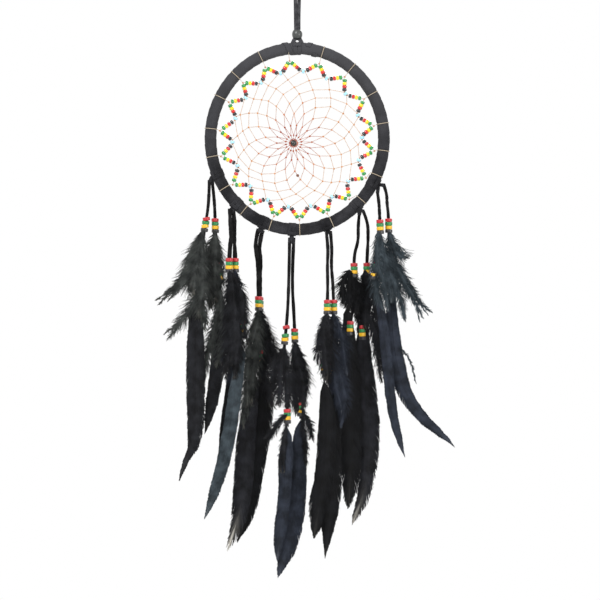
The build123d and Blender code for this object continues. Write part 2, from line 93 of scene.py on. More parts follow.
def add_node(tree, kind, inputs=None, output=0, **settings):
    """Adds a node with its settings, fills its inputs with values or sockets, and returns one output."""
    node = tree.nodes.new(kind)
    for key, value in settings.items():
        setattr(node, key, value)
    for key, value in (inputs or {}).items():
        several = isinstance(value, list) and isinstance(value[0], bpy.types.NodeSocket)
        for item in value if several else [value]:
            if isinstance(item, bpy.types.NodeSocket):
                tree.links.new(item, node.inputs[key])
            else:
                node.inputs[key].default_value = item
    return node.outputs[output] if node.outputs else None


def new_material(name, roughness, **sockets):
    """A material with its shader, whose even values sit on the shader's own sockets."""
    material = bpy.data.materials.new(name)
    material.use_nodes = True
    shader = material.node_tree.nodes["Principled BSDF"]
    shader.inputs["Roughness"].default_value = roughness
    for key, value in sockets.items():
        shader.inputs[key.replace("_", " ")].default_value = value
    return material, material.node_tree, shader


# Painted board: flat, pale and even.
floor_paint, _, shader = new_material("floor_paint", 0.9)
shader.inputs["Base Color"].default_value = to_linear("#EFEFEF")
FLOOR_R = 0.6
FLOOR_Z = -0.70
floor_mesh = bpy.data.meshes.new("floor")
FLOOR_SIDES = 48
rim = []
for i in range(FLOOR_SIDES):
    turn = i * math.tau / FLOOR_SIDES
    rim.append((FLOOR_R * math.cos(turn), FLOOR_R * math.sin(turn), FLOOR_Z))
floor_mesh.from_pydata(rim, [], [list(range(FLOOR_SIDES))])
floor_mesh.materials.append(floor_paint)
floor = bpy.data.objects.new("floor", floor_mesh)
bpy.context.collection.objects.link(floor)

# ---- Laces ----
# Black suede lace, 3 to 4 mm wide, cut from split hide. One length is doubled over the nail and
# carries the hoop; seven more are folded over the hoop, and their fourteen ends hang as strands.

# Each strand in millimetres: how deep its beads hang, the height of each stack's first bead, the
# width of a wider lace, the beads that ride loose above a stack, and the lace's route from the top.
STRANDS = {
    "1a": {
        "depth": -3.5, "upper": -220.5, "lower": -268.0,
        "lace": [
            (-79.0, -1.8, -185.5), (-79.3, -2.4, -199.0), (-80.4, -2.75, -213.5), (-84.8, -2.75, -238.0),
            (-86.4, -2.75, -259.5), (-88.9, -2.75, -281.0),
        ],
    },
    "1b": {
        "depth": 3.5, "upper": -221.4, "lower": -270.0,
        "loose": {"node": "loose_bead_1b", "stack": "lower", "at": [-259.2]},
        "lace": [
            (-76.5, 1.8, -187.3), (-75.0, 3.0, -200.3), (-74.2, 4.25, -214.0), (-73.6, 4.25, -238.0),
            (-70.6, 4.25, -248.5), (-69.3, 4.25, -281.0),
        ],
    },
    "2a": {
        "depth": -17.5, "upper": -257.4, "lower": -314.0, "lace_width": 4.0,
        "lace": [
            (-60.5, -4.2, -211.5), (-60.3, -8.6, -222.0), (-58.9, -12.6, -234.0), (-60.4, -16.75, -249.0),
            (-61.2, -16.75, -274.0), (-55.6, -16.75, -290.0), (-50.0, -16.75, -306.5),
            (-48.4, -16.75, -328.0),
        ],
    },
    "2b": {
        "depth": -10.5, "upper": -257.4, "lower": -317.0, "lace_width": 4.0,
        "lace": [
            (-57.3, -4.0, -214.0), (-56.0, -5.3, -224.5), (-56.7, -7.2, -236.0), (-55.8, -9.75, -250.0),
            (-55.3, -9.75, -275.0), (-56.4, -9.75, -292.0), (-55.0, -9.75, -309.0), (-54.4, -9.75, -330.5),
        ],
    },
    "3a": {
        "depth": 10.5, "upper": -291.6, "lower": -339.0, "lace_width": 4.0,
        "lace": [
            (-34.7, 4.0, -229.3), (-38.2, 5.6, -240.0), (-36.4, 8.4, -254.0), (-34.9, 11.25, -268.0),
            (-35.0, 11.25, -309.5), (-38.4, 11.25, -326.0), (-39.6, 11.25, -353.0),
        ],
    },
    "3b": {
        "depth": 17.5, "upper": -292.4, "lower": -340.5, "lace_width": 4.0,
        "lace": [
            (-31.1, 4.0, -230.7), (-34.6, 7.5, -242.0), (-33.0, 12.8, -258.0), (-33.9, 18.25, -275.0),
            (-33.6, 18.25, -309.0), (-31.8, 18.25, -326.0), (-32.8, 18.25, -354.5),
        ],
    },
    "4a": {
        "depth": -3.5, "upper": -325.4, "lower": -392.9,
        "loose": {"node": "loose_bead_4a", "stack": "upper", "at": [-318.0]},
        "lace": [
            (-6.8, -1.2, -237.2), (-7.4, -2.75, -271.5), (-8.6, -2.75, -306.0), (-12.2, -2.75, -340.0),
            (-11.2, -2.75, -360.0), (-9.0, -2.75, -380.0), (-8.9, -2.75, -406.5),
        ],
    },
    "4b": {
        "depth": 3.5, "upper": -320.6, "lower": -386.7,
        "lace": [
            (-3.0, 1.2, -237.2), (-5.0, 4.25, -274.0), (-2.8, 4.25, -308.0), (-1.8, 4.25, -338.0),
            (-0.6, 4.25, -356.0), (2.8, 4.25, -374.0), (3.4, 4.25, -400.5),
        ],
    },
    "5a": {
        "depth": -17.5, "upper": -294.8, "lower": -348.1,
        "lace": [
            (26.1, -4.0, -232.6), (27.9, -8.0, -246.0), (26.9, -12.6, -262.0), (27.4, -16.75, -279.0),
            (26.6, -16.75, -312.0), (23.6, -16.75, -328.0), (24.2, -16.75, -362.5),
        ],
    },
    "5b": {
        "depth": -10.5, "upper": -294.8, "lower": -351.2,
        "lace": [
            (29.7, -4.0, -231.4), (31.4, -5.6, -246.0), (30.4, -7.8, -262.5), (32.2, -9.75, -280.0),
            (32.9, -9.75, -312.5), (30.8, -9.75, -330.0), (31.7, -9.75, -365.5),
        ],
    },
    "6a": {
        "depth": 10.5, "upper": -261.6, "lower": -314.0,
        "lace": [
            (56.1, 4.0, -214.8), (54.8, 5.8, -226.0), (55.3, 8.6, -240.0), (51.0, 11.25, -253.5),
            (51.9, 11.25, -279.0), (54.0, 11.25, -292.5), (48.4, 11.25, -305.5), (47.0, 11.25, -329.0),
        ],
    },
    "6b": {
        "depth": 17.5, "upper": -261.2, "lower": -318.0,
        "lace": [
            (58.9, 4.0, -212.2), (63.6, 6.8, -222.0), (64.2, 12.0, -237.0), (63.4, 18.25, -253.0),
            (62.6, 18.25, -279.0), (61.6, 18.25, -295.0), (58.6, 18.25, -309.0), (59.2, 18.25, -333.0),
        ],
    },
    "7a": {
        "depth": -3.5, "upper": -222.6, "lower": -270.3,
        "loose": {"node": "loose_beads_7a", "stack": "lower", "at": [-258.6, -262.7]},
        "lace": [
            (72.0, -1.6, -195.7), (73.5, -2.2, -205.0), (74.0, -2.75, -215.5), (75.0, -2.75, -238.5),
            (73.0, -2.75, -247.5), (67.7, -2.75, -277.5),
        ],
    },
    "7b": {
        "depth": 3.5, "upper": -221.4, "lower": -265.5,
        "lace": [
            (77.6, 1.6, -188.9), (80.7, 3.0, -197.0), (80.9, 4.25, -206.5), (82.2, 4.25, -216.0),
            (82.6, 4.25, -239.0), (84.4, 4.25, -256.0), (83.8, 4.25, -279.5),
        ],
    },
}  # fmt: skip


def smooth_path(route):
    """A cord's own line: a smooth curve with the route's points as its control points."""
    curve = bpy.data.curves.new("route", "CURVE")
    curve.dimensions = "3D"
    spline = curve.splines.new("NURBS")
    spline.points.add(len(route) - 1)
    for point, place in zip(spline.points, route):
        point.co = (*[MM * c for c in place], 1)
    spline.order_u = 3
    spline.use_endpoint_u = True
    spline.resolution_u = 10
    holder = bpy.data.objects.new("route", curve)
    mesh = bpy.data.meshes.new_from_object(holder)
    line = [v.co.copy() for v in mesh.vertices]
    bpy.data.objects.remove(holder)
    return line


def ribbon(parts, line, facings, width, thickness, closed=False):
    """Adds one flat lace to parts: a rounded strip along the line, its face towards each facing."""
    verts, faces = parts
    first = len(verts)
    rim_count = 12
    fray_share, fray_scale = 0.16, 420
    edge_squareness, face_squareness = 0.55, 0.7
    for i, point in enumerate(line):
        if closed:
            way = line[(i + 1) % len(line)] - line[i - 1]
        else:
            way = line[min(i + 1, len(line) - 1)] - line[max(i - 1, 0)]
        way.normalize()
        side = way.cross(facings[i]).normalized()
        out = side.cross(way)
        fray = 1 + fray_share * noise.noise(point * fray_scale)
        for k in range(rim_count):
            c, s = math.cos(k * math.tau / rim_count), math.sin(k * math.tau / rim_count)
            across = math.copysign(abs(c) ** edge_squareness, c) * width / 2 * fray
            up = math.copysign(abs(s) ** face_squareness, s) * thickness / 2 * (2 - fray)
            verts.append(point + side * across + out * up)
    rows = len(line) if closed else len(line) - 1
    for i in range(rows):
        a = first + i * rim_count
        b = first + (i + 1) % len(line) * rim_count
        for k in range(rim_count):
            n = (k + 1) % rim_count
            faces.append((a + k, a + n, b + n, b + k))
    if not closed:
        faces.append([first + k for k in reversed(range(rim_count))])
        faces.append([first + (len(line) - 1) * rim_count + k for k in range(rim_count)])


def make_piece(name, parts, material):
    """A mesh object from parts, with its finish."""
    mesh = bpy.data.meshes.new(name)
    mesh.from_pydata(parts[0], [], parts[1])
    mesh.materials.append(material)
    mesh.shade_smooth()
    piece = bpy.data.objects.new(name, mesh)
    bpy.context.collection.objects.link(piece)
    return piece


# Painted light: suede given a top tone is painted lighter upwards between these two heights, standing in for
# the light that falls on it from above.
PAINTED_LIGHT_FROM_Z, PAINTED_LIGHT_TO_Z = -190 * MM, -70 * MM


def suede(name, dark, brushed, fibre_mm, blotch_mm, sheen, painted_top_light=None):
    """Suede: split hide with a raised nap, near black, without gloss, and greyer where brushed."""
    material, tree, shader = new_material(name, 1.0, Sheen_Weight=sheen, Sheen_Roughness=0.6)
    shader.inputs["Specular IOR Level"].default_value = 0.05
    shader.inputs["Sheen Tint"].default_value = to_linear("#8A8A8E")
    place = add_node(tree, "ShaderNodeTexCoord", output="Object")
    fibres = {"Vector": place, "Scale": 1 / (fibre_mm * MM), "Detail": 4.0, "Roughness": 0.7}
    fibre = add_node(tree, "ShaderNodeTexNoise", fibres)
    blotch = add_node(
        tree, "ShaderNodeTexNoise", {"Vector": place, "Scale": 1 / (blotch_mm * MM), "Detail": 2.0}
    )
    nap = add_node(tree, "ShaderNodeMath", {0: fibre, 1: blotch}, operation="MULTIPLY")
    spread = add_node(tree, "ShaderNodeMapRange", {"Value": nap, "From Min": 0.14, "From Max": 0.4})
    tones = {"Factor": spread, 6: to_linear(dark), 7: to_linear(brushed)}
    tone = add_node(tree, "ShaderNodeMix", tones, output=2, data_type="RGBA")
    # Painted light: a given top tone lightens the colour upwards, standing in for light from above.
    if painted_top_light:
        height = add_node(tree, "ShaderNodeSeparateXYZ", {0: place}, output="Z")
        top_light_range = {"Value": height, "From Min": PAINTED_LIGHT_FROM_Z, "From Max": PAINTED_LIGHT_TO_Z, "To Max": 0.6}
        painted_light_share = add_node(tree, "ShaderNodeMapRange", top_light_range)
        tones = {"Factor": painted_light_share, 6: tone, 7: to_linear(painted_top_light)}
        tone = add_node(tree, "ShaderNodeMix", tones, output=2, data_type="RGBA")
    tree.links.new(tone, shader.inputs["Base Color"])
    bump = add_node(tree, "ShaderNodeBump", {"Height": fibre, "Strength": 0.6, "Distance": 0.3 * MM})
    tree.links.new(bump, shader.inputs["Normal"])
    return material


lace_suede = suede("black_suede_lace", "#080808", "#232223", 0.7, 6, 0.08)

HANG_ROUTE = [
    (-1.4, 0, -59.6), (-1.4, 0, -12), (-3.8, 0, -3.8), (-3.8, 0, 1.3),
    (3.8, 0, 1.3), (3.8, 0, -3.8), (1.4, 0, -12), (1.4, 0, -59.6),
]  # fmt: skip
LACE_W = 3.1 * MM
LACE_THICKNESS = 1.3 * MM
HANG_LACE_THICKNESS = 2.0 * MM
# Painted light: the hanging lace is the same black suede lace, painted greyer to stand in for the brighter
# light at the top of the catcher.
lit_hanging_suede = suede("black_suede_hanging_lace_painted_light", "#262628", "#4C4C4F", 0.7, 6, 0.15)
FRONT = Vector((0, -1, 0))
line = smooth_path(HANG_ROUTE)
parts = ([], [])
ribbon(parts, line, [FRONT] * len(line), LACE_W, HANG_LACE_THICKNESS)
hang_lace = make_piece("hanging_lace", parts, lit_hanging_suede)
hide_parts("hang_loop")
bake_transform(hang_lace)

# A strand is one end of a folded lace. It turns a little as it hangs, and runs behind the quills
# through its beads, which jam it.
for order, (name, strand) in enumerate(STRANDS.items()):
    line = smooth_path(strand["lace"])
    facings = []
    for i in range(len(line)):
        turn = 0.5 * math.sin(0.23 * i + 1.7 * order) + 0.25 * math.sin(0.61 * i + order)
        facings.append(Vector((math.sin(turn), -math.cos(turn), 0)))
    width = strand.get("lace_width", 3.1) * MM
    parts = ([], [])
    ribbon(parts, line, facings, width, LACE_THICKNESS)
    lace = make_piece(f"strand_{name}_suede", parts, lace_suede)
    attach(lace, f"strand_{name}")
    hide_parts(f"strand_{name}_lace")

# ---- Hoop ----
# A cane ring bound with overlapping turns of suede ribbon. The net's thread turns pinch it in at
# eighteen places, and the ribbon's ends cross it near the top.
HOOP_MIDDLE_Z = -148.5 * MM
HOOP_ACROSS = 78 * MM
HOOP_UP = 81.5 * MM
BAND_R = 5.45 * MM
OVAL_SHIFT = (HOOP_UP - HOOP_ACROSS) / (2 - math.sqrt(2))
APEXES = [
    -5.7, 16.4, 37.6, 59.1, 79.8, 97.8, 118.3, 138.0, 157.5,
    178.4, 197.3, 216.7, 235.9, 258.2, 276.7, 298.4, 315.9, 335.9,
]  # fmt: skip
PUSHED_ASIDE = {118.3: 114.5, 138.0: 133.5}


def on_hoop(angle):
    """The cane's middle at an angle clockwise from the top, and the direction outwards there."""
    across, up = math.sin(math.radians(angle)), math.cos(math.radians(angle))
    for centre, radius in (
        ((0, math.copysign(OVAL_SHIFT, up)), HOOP_UP - OVAL_SHIFT),
        ((-math.copysign(OVAL_SHIFT, across), 0), HOOP_ACROSS + OVAL_SHIFT),
    ):
        along = across * centre[0] + up * centre[1]
        reach = along + math.sqrt(along**2 - OVAL_SHIFT**2 + radius**2)
        outward = Vector((across * reach - centre[0], 0, up * reach - centre[1])) / radius
        if abs(outward.z) >= abs(outward.x):
            break
    return Vector((across * reach, 0, up * reach + HOOP_MIDDLE_Z)), outward


def on_band(angle, round_angle, radius):
    """A point over the band: round_angle turns from the hoop's outside to its front."""
    middle, outward = on_hoop(angle)
    way = outward * math.cos(round_angle) + FRONT * math.sin(round_angle)
    return middle + way * radius, way


RIBBON_TURNS = 62
STEPS_ALONG, STEPS_ROUND = 930, 28
LAP_RISE, LAP_SHARE = 0.3, 0.9  # mm that a turn climbs over the last one, and how far along it does
LAP_BASE, PINCH_DEPTH, PINCH_WIDTH = 0.25, 0.25, 1.1  # mm, mm and degrees
WANDER, ROUGHNESS = 0.12, 0.06  # share of a turn, and mm
pinches = [PUSHED_ASIDE.get(a, a) for a in APEXES]
verts, faces = [], []
for i in range(STEPS_ALONG):
    angle = 360 * i / STEPS_ALONG
    pinch = sum(math.exp(-(((angle - p + 180) % 360 - 180) / PINCH_WIDTH) ** 2) for p in pinches)
    for k in range(STEPS_ROUND):
        turn = math.tau * k / STEPS_ROUND
        wander = WANDER * noise.noise(Vector((angle * 0.21, math.cos(turn), math.sin(turn))))
        phase = (RIBBON_TURNS * i / STEPS_ALONG + k / STEPS_ROUND + wander) % 1
        lap = LAP_RISE * (phase**0.8 if phase < LAP_SHARE else (1 - phase) / (1 - LAP_SHARE))
        rough = ROUGHNESS * noise.noise(Vector((angle * 2.1, 3 * math.cos(turn), 3 * math.sin(turn))))
        radius = BAND_R - (LAP_BASE - lap + PINCH_DEPTH * pinch - rough) * MM
        verts.append(on_band(angle, turn, radius)[0])
for i in range(STEPS_ALONG):
    for k in range(STEPS_ROUND):
        a, b = i * STEPS_ROUND, (i + 1) % STEPS_ALONG * STEPS_ROUND
        n = (k + 1) % STEPS_ROUND
        faces.append((a + k, b + k, b + n, a + n))
# The wrap's top tone is painted light: the band is painted lighter towards its top, standing in for the light
# from above.
wrap_suede = suede("black_suede_wrap", "#1A1A1C", "#353538", 0.9, 14, 0.12, painted_top_light="#4A4A4D")
wrap = make_piece("hoop_ribbon", (verts, faces), wrap_suede)
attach(wrap, "hoop")
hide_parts("hoop_wrap")

# The ribbon's two ends cross over the band beside the hanging hitch and are glued down.
END_STEPS = 24
parts = ([], [])
for start, end, spin in ((-9.5, -1.5, 1), (6.5, 12.5, -1)):
    line, facings = [], []
    for i in range(END_STEPS + 1):
        share = i / END_STEPS
        round_angle = spin * math.tau * (0.85 * share - 0.2)
        point, way = on_band(start + (end - start) * share, round_angle, BAND_R + 0.25 * MM)
        line.append(point)
        facings.append(way)
    ribbon(parts, line, facings, 4.4 * MM, 0.9 * MM)
ends = make_piece("hoop_ribbon_ends", parts, wrap_suede)
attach(ends, "hoop")


def mottled(name, roughness, one, other, patch_mm, detail, fineness=0.5, relief_mm=0, **sockets):
    """A finish whose colour wanders between two tones, in patches of that size that may stand up."""
    material, tree, shader = new_material(name, roughness, **sockets)
    place = add_node(tree, "ShaderNodeTexCoord", output="Object")
    patch = {"Vector": place, "Scale": 1 / (patch_mm * MM), "Detail": detail, "Roughness": fineness}
    patches = add_node(tree, "ShaderNodeTexNoise", patch)
    tones = {"Factor": patches, 6: to_linear(one), 7: to_linear(other)}
    tone = add_node(tree, "ShaderNodeMix", tones, output=2, data_type="RGBA")
    tree.links.new(tone, shader.inputs["Base Color"])
    if relief_mm:
        stand = {"Height": patches, "Strength": 0.25, "Distance": relief_mm * MM}
        tree.links.new(add_node(tree, "ShaderNodeBump", stand), shader.inputs["Normal"])
    return material


# Bare cane shows nowhere: pale, straight-grained and dry.
cane = mottled("bare_cane", 0.6, "#B58F5C", "#D9BC8A", patch_mm=1.5, detail=3.0)
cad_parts["hoop_core"].material_slots[0].material = cane

# ---- Hitches ----
# Each folded lace is a lark's head: two turns round the band side by side, and the fold's bight
# lying across them in front. The top one carries the hoop and can roll on it.

TURN_STEPS, BIGHT_STEPS = 28, 14


def lark_head(parts, angle, half, bight_turn):
    """Two closed turns round the band, and the bight across them, turned from outside to front."""
    half_turn = 0.5 * half
    fill = 0.98  # of the width that each turn has
    middle, outward = on_hoop(angle)
    tangent = outward.cross(FRONT)
    for side in (-1, 1):
        line, facings = [], []
        for i in range(TURN_STEPS):
            turn = i * math.tau / TURN_STEPS
            way = outward * math.cos(turn) + FRONT * math.sin(turn)
            lean = side * half_turn + 0.25 * MM * math.sin(turn + side)
            line.append(middle + way * (BAND_R + 0.22 * MM) + tangent * lean)
            facings.append(way)
        ribbon(parts, line, facings, half * fill, 0.7 * MM, closed=True)
    line, facings = [], []
    way = outward * math.cos(bight_turn) + FRONT * math.sin(bight_turn)
    for i in range(BIGHT_STEPS + 1):
        share = 2 * i / BIGHT_STEPS - 1
        sink = (0.9 - 1.4 * abs(share) ** 3) * MM
        line.append(middle + way * (BAND_R + 0.5 * MM + sink) + tangent * share * half * fill)
        facings.append(way)
    ribbon(parts, line, facings, 2.9 * MM, 1.0 * MM)


def lead(parts, start, end, width):
    """A short stretch of lace from the band to where it hangs or rises free."""
    steps = 8
    line = [start.lerp(end, i / steps) for i in range(steps + 1)]
    ribbon(parts, line, [FRONT] * len(line), width, 1.5 * MM)


parts = ([], [])
# Where each strand's hitch sits, in degrees clockwise from the top, and half its width in mm.
STRAND_HITCHES = [
    (246.2, 3.7), (223, 3.7), (202, 3.7), (183.2, 3.7), (161.5, 3.7), (138.5, 3.7), (119.5, 4.7),
]  # fmt: skip
for order, (angle, half) in enumerate(STRAND_HITCHES):
    lark_head(parts, angle, half * MM, 0.95 + 0.15 * math.sin(2.3 * order))
    for side in "ab":
        route = STRANDS[f"{order + 1}{side}"]["lace"]
        end = Vector(route[0]).lerp(Vector(route[1]), 0.15) * MM
        lead(parts, on_band(angle, 0.35, BAND_R)[0].lerp(end, 0.05), end, 3.3 * MM)
hitches = make_piece("strand_hitches", parts, wrap_suede)
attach(hitches, "hoop")
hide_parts("lace_hitches")

parts = ([], [])
lark_head(parts, 0, 3.7 * MM, 1.1)
for side in (-1, 1):
    lead(parts, Vector((4.4 * side, -2.0, -62.6)) * MM, Vector((1.5 * side, -0.2, -57.2)) * MM, 3.4 * MM)
top_hitch = make_piece("top_hitch", parts, wrap_suede)
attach(top_hitch, "hitch")
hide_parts("hang_hitch")

# The knot under the nail: a lace end wound twice round both runs and pulled tight.
parts = ([], [])
line, facings = [], []
KNOT_TOP_Z, KNOT_DROP, KNOT_TURNS, KNOT_STEPS = -17.6, 3.8, 2.3, 60
for i in range(KNOT_STEPS + 1):
    share = i / KNOT_STEPS
    turn = KNOT_TURNS * math.tau * share
    way = Vector((math.cos(turn), math.sin(turn), 0))
    line.append(Vector((3.1 * way.x, 2.4 * way.y, KNOT_TOP_Z - KNOT_DROP * share)) * MM)
    facings.append(way)
ribbon(parts, line, facings, 3.0 * MM, 1.7 * MM)
knot = make_piece("hanging_knot", parts, lace_suede)
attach(knot, "hanger")
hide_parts("hang_knot")

# ---- Net ----
# Two-ply waxed thread, tied to the band at eighteen places and half-hitched to itself row by row
# down to a dark bead, where it is wound round. It is tan outside and red-brown near the middle.
COLUMNS = len(APEXES)
NET_ROWS = [(54.3, 6.5), (48.6, 13.0), (43.0, 19.5), (35.0, 26.0), (26.0, 33.5), (15.5, 43.0), (7.0, 56.0)]
WEB_MIDDLE = Vector((-3.3, -3.7))
THREAD = 0.6
BLUE_HALF = 1.7  # half the straight thread through a blue bead


def polar(angle, across, up):
    """A place on an oval about the hoop's middle, in mm, clockwise from the top."""
    return Vector((across * math.sin(math.radians(angle)), up * math.cos(math.radians(angle))))


def apex(column):
    """Where a tie's thread divides, just inside the band."""
    return polar(APEXES[column % COLUMNS], 70.2, 71.8) - Vector((0, 1))


def vertex_angle(column):
    """The angle midway between one tie and the next."""
    here, after = APEXES[column % COLUMNS], APEXES[(column + 1) % COLUMNS]
    return here + (after - here) % 360 / 2


def vertex(column, side):
    """An end of the straight thread through a blue bead."""
    angle = vertex_angle(column)
    return polar(angle, 58.3, 61.3) + side * BLUE_HALF * polar(angle + 90, 1, 1)


def net_knot(row, column):
    """Where the rows' threads are hitched. Each row is turned on, evened out and slightly uneven."""
    radius, turn = NET_ROWS[row]
    inward = (row + 1) / len(NET_ROWS)
    even = 20.0 * (column % COLUMNS) + 5.0
    lean = (vertex_angle(column) - even + 180) % 360 - 180
    radius *= 1 + 0.022 * math.sin(5.1 * row + 3.7 * (column % COLUMNS))
    return polar(even + lean * (1 - inward) + turn, radius, radius) + WEB_MIDDLE * inward


lines, knots = [], []
for column in range(COLUMNS):
    middle, outward = on_hoop(pinches[column])
    edge = Vector((middle.x, middle.z - HOOP_MIDDLE_Z)) / MM - Vector((outward.x, outward.z)) * 6.0
    lines.append((edge, apex(column)))
    lines.append((apex(column), vertex(column, -1)))
    lines.append((vertex(column, -1), vertex(column, 1)))
    lines.append((vertex(column, 1), apex(column + 1)))
    lines.append((vertex(column, 1), net_knot(0, column)))
    lines.append((vertex(column + 1, -1), net_knot(0, column)))
    knots += [apex(column), vertex(column, -1), vertex(column, 1)]
    for row in range(len(NET_ROWS)):
        knots.append(net_knot(row, column))
        if row:
            lines.append((net_knot(row - 1, column), net_knot(row, column)))
            lines.append((net_knot(row - 1, column + 1), net_knot(row, column)))
    last = net_knot(len(NET_ROWS) - 1, column)
    lines.append((last, WEB_MIDDLE + (last - WEB_MIDDLE).normalized() * 3.4))


def waxed_thread(name, inner, between, outer):
    """Waxed linen thread: dull, with a slight waxy gloss, and redder towards the net's middle."""
    finish, tree, shader = new_material(name, 0.55)
    place = add_node(tree, "ShaderNodeTexCoord", output="Object")
    centred = add_node(
        tree,
        "ShaderNodeMapping",
        {"Vector": place, "Location": (-WEB_MIDDLE.x * MM, 0, -WEB_MIDDLE.y * MM - HOOP_MIDDLE_Z)},
    )
    distance = add_node(tree, "ShaderNodeVectorMath", {0: centred}, output="Value", operation="LENGTH")
    outward_share = add_node(
        tree, "ShaderNodeMapRange", {"Value": distance, "From Min": 14 * MM, "From Max": 62 * MM}
    )
    patchy = add_node(tree, "ShaderNodeTexNoise", {"Vector": place, "Scale": 1 / (11 * MM), "Detail": 3.0})
    wobble = add_node(tree, "ShaderNodeMath", {0: patchy, 1: 0.9, 2: outward_share}, operation="MULTIPLY_ADD")
    tone = add_node(tree, "ShaderNodeValToRGB", {"Fac": wobble})
    steps = tone.node.color_ramp.elements
    steps[0].position = 0.35
    steps[0].color = to_linear(inner)
    steps[1].position = 1.0
    steps[1].color = to_linear(outer)
    steps.new(0.7).color = to_linear(between)
    tree.links.new(tone, shader.inputs["Base Color"])
    return finish


thread_finish = waxed_thread("waxed_linen_thread", "#B2482A", "#CE8756", "#D9AC7E")
knot_finish = waxed_thread("waxed_linen_knots", "#96381F", "#BE6E3C", "#CC9060")


def new_tree(name, source, sizes, counts, finishes, made):
    """A node tree with its named inputs at their usual values, and the sockets that give them."""
    tree = bpy.data.node_groups.new(name, "GeometryNodeTree")
    face = tree.interface
    face.new_socket(source, in_out="INPUT", socket_type="NodeSocketGeometry")
    for key, value in sizes.items():
        face.new_socket(key, in_out="INPUT", socket_type="NodeSocketFloat").default_value = value
    for key, value in counts.items():
        face.new_socket(key, in_out="INPUT", socket_type="NodeSocketInt").default_value = value
    for key in finishes:
        face.new_socket(key, in_out="INPUT", socket_type="NodeSocketMaterial")
    face.new_socket(made, in_out="OUTPUT", socket_type="NodeSocketGeometry")
    return tree, add_node(tree, "NodeGroupInput").node.outputs


sizes = {"Thread width": THREAD * MM, "Laid length": 2.2 * MM, "Knot width": 1.6 * MM}
finishes = ("Finish", "Knot finish")
tree, given = new_tree("laid_thread", "Thread lines", sizes, {"Seed": 3}, finishes, "Net")
thread_tree = tree
strung = add_node(tree, "GeometryNodeMeshToCurve", {"Mesh": given["Thread lines"]})
stepped = add_node(tree, "GeometryNodeResampleCurve", {"Curve": strung, "Length": 0.9 * MM}, mode="LENGTH")
run = add_node(tree, "GeometryNodeSplineParameter", output="Length")
turns = add_node(tree, "ShaderNodeMath", {0: run, 1: given["Laid length"]}, operation="DIVIDE")
radians = add_node(tree, "ShaderNodeMath", {0: turns, 1: math.tau}, operation="MULTIPLY")
upright = add_node(tree, "GeometryNodeSetCurveNormal", {"Curve": stepped}, mode="Z_UP")
laid = add_node(tree, "GeometryNodeSetCurveTilt", {"Curve": upright, "Tilt": radians})
ply_r = add_node(tree, "ShaderNodeMath", {0: given["Thread width"], 1: 0.27}, operation="MULTIPLY")
ply = add_node(tree, "GeometryNodeCurvePrimitiveCircle", {"Resolution": 5, "Radius": ply_r})
left = add_node(tree, "ShaderNodeCombineXYZ", {"X": ply_r})
right = add_node(tree, "ShaderNodeVectorMath", {0: left, "Scale": -1.0}, operation="SCALE")
plies = add_node(
    tree,
    "GeometryNodeJoinGeometry",
    {
        0: [
            add_node(tree, "GeometryNodeTransform", {"Geometry": ply, "Translation": shift})
            for shift in (left, right)
        ]
    },
)
thread = add_node(tree, "GeometryNodeCurveToMesh", {"Curve": laid, "Profile Curve": plies, "Fill Caps": True})
coil_r = add_node(tree, "ShaderNodeMath", {0: given["Knot width"], 1: 0.36}, operation="MULTIPLY")
coil = add_node(
    tree,
    "GeometryNodeCurveSpiral",
    {"Resolution": 9, "Rotations": 2.2, "Start Radius": coil_r, "End Radius": coil_r, "Height": 0.9 * MM},
)
coil_thread = add_node(tree, "GeometryNodeCurvePrimitiveCircle", {"Resolution": 5, "Radius": 0.27 * MM})
coil_mesh = add_node(
    tree, "GeometryNodeCurveToMesh", {"Curve": coil, "Profile Curve": coil_thread, "Fill Caps": True}
)
centred_coil = add_node(
    tree, "GeometryNodeTransform", {"Geometry": coil_mesh, "Translation": (0, 0, -0.37 * MM)}
)
is_knot = add_node(tree, "GeometryNodeInputNamedAttribute", {"Name": "knot"}, data_type="BOOLEAN")
tumble = add_node(
    tree,
    "FunctionNodeRandomValue",
    {"Min": (0.9, -0.5, 0.0), "Max": (2.2, 0.5, 6.28), "Seed": given["Seed"]},
    data_type="FLOAT_VECTOR",
)
knot_turn = add_node(tree, "FunctionNodeEulerToRotation", {0: tumble})
tied = add_node(
    tree,
    "GeometryNodeInstanceOnPoints",
    {"Points": given["Thread lines"], "Selection": is_knot, "Instance": centred_coil, "Rotation": knot_turn},
)
real_knots = add_node(tree, "GeometryNodeRealizeInstances", {0: tied})
parts = [
    add_node(tree, "GeometryNodeSetMaterial", {"Geometry": part, "Material": given[key]})
    for part, key in ((thread, "Finish"), (real_knots, "Knot finish"))
]
whole = add_node(tree, "GeometryNodeJoinGeometry", {0: parts})
add_node(tree, "NodeGroupOutput", {"Net": whole})


def grow(name, source, tree, inputs):
    """Runs a node tree on a curve or mesh and returns the result as a plain object."""
    holder = bpy.data.objects.new(name + "_lines", source)
    bpy.context.collection.objects.link(holder)
    modifier = holder.modifiers.new("grow", "NODES")
    modifier.node_group = tree
    sockets = {s.name: s.identifier for s in tree.interface.items_tree if s.in_out == "INPUT"}
    for key, value in inputs.items():
        modifier[sockets[key]] = value
    graph = bpy.context.evaluated_depsgraph_get()
    mesh = bpy.data.meshes.new_from_object(holder.evaluated_get(graph), depsgraph=graph)
    bpy.data.objects.remove(holder)
    mesh.name = name
    mesh.shade_smooth()
    piece = bpy.data.objects.new(name, mesh)
    bpy.context.collection.objects.link(piece)
    return piece


def flat_place(point, forward=0.0):
    """A place of the net, given in mm, as a point in the frame."""
    return (point.x * MM, -forward * MM, point.y * MM + HOOP_MIDDLE_Z)


verts, edges = [], []
for start, end in lines:
    edges.append((len(verts), len(verts) + 1))
    verts += [flat_place(start), flat_place(end)]
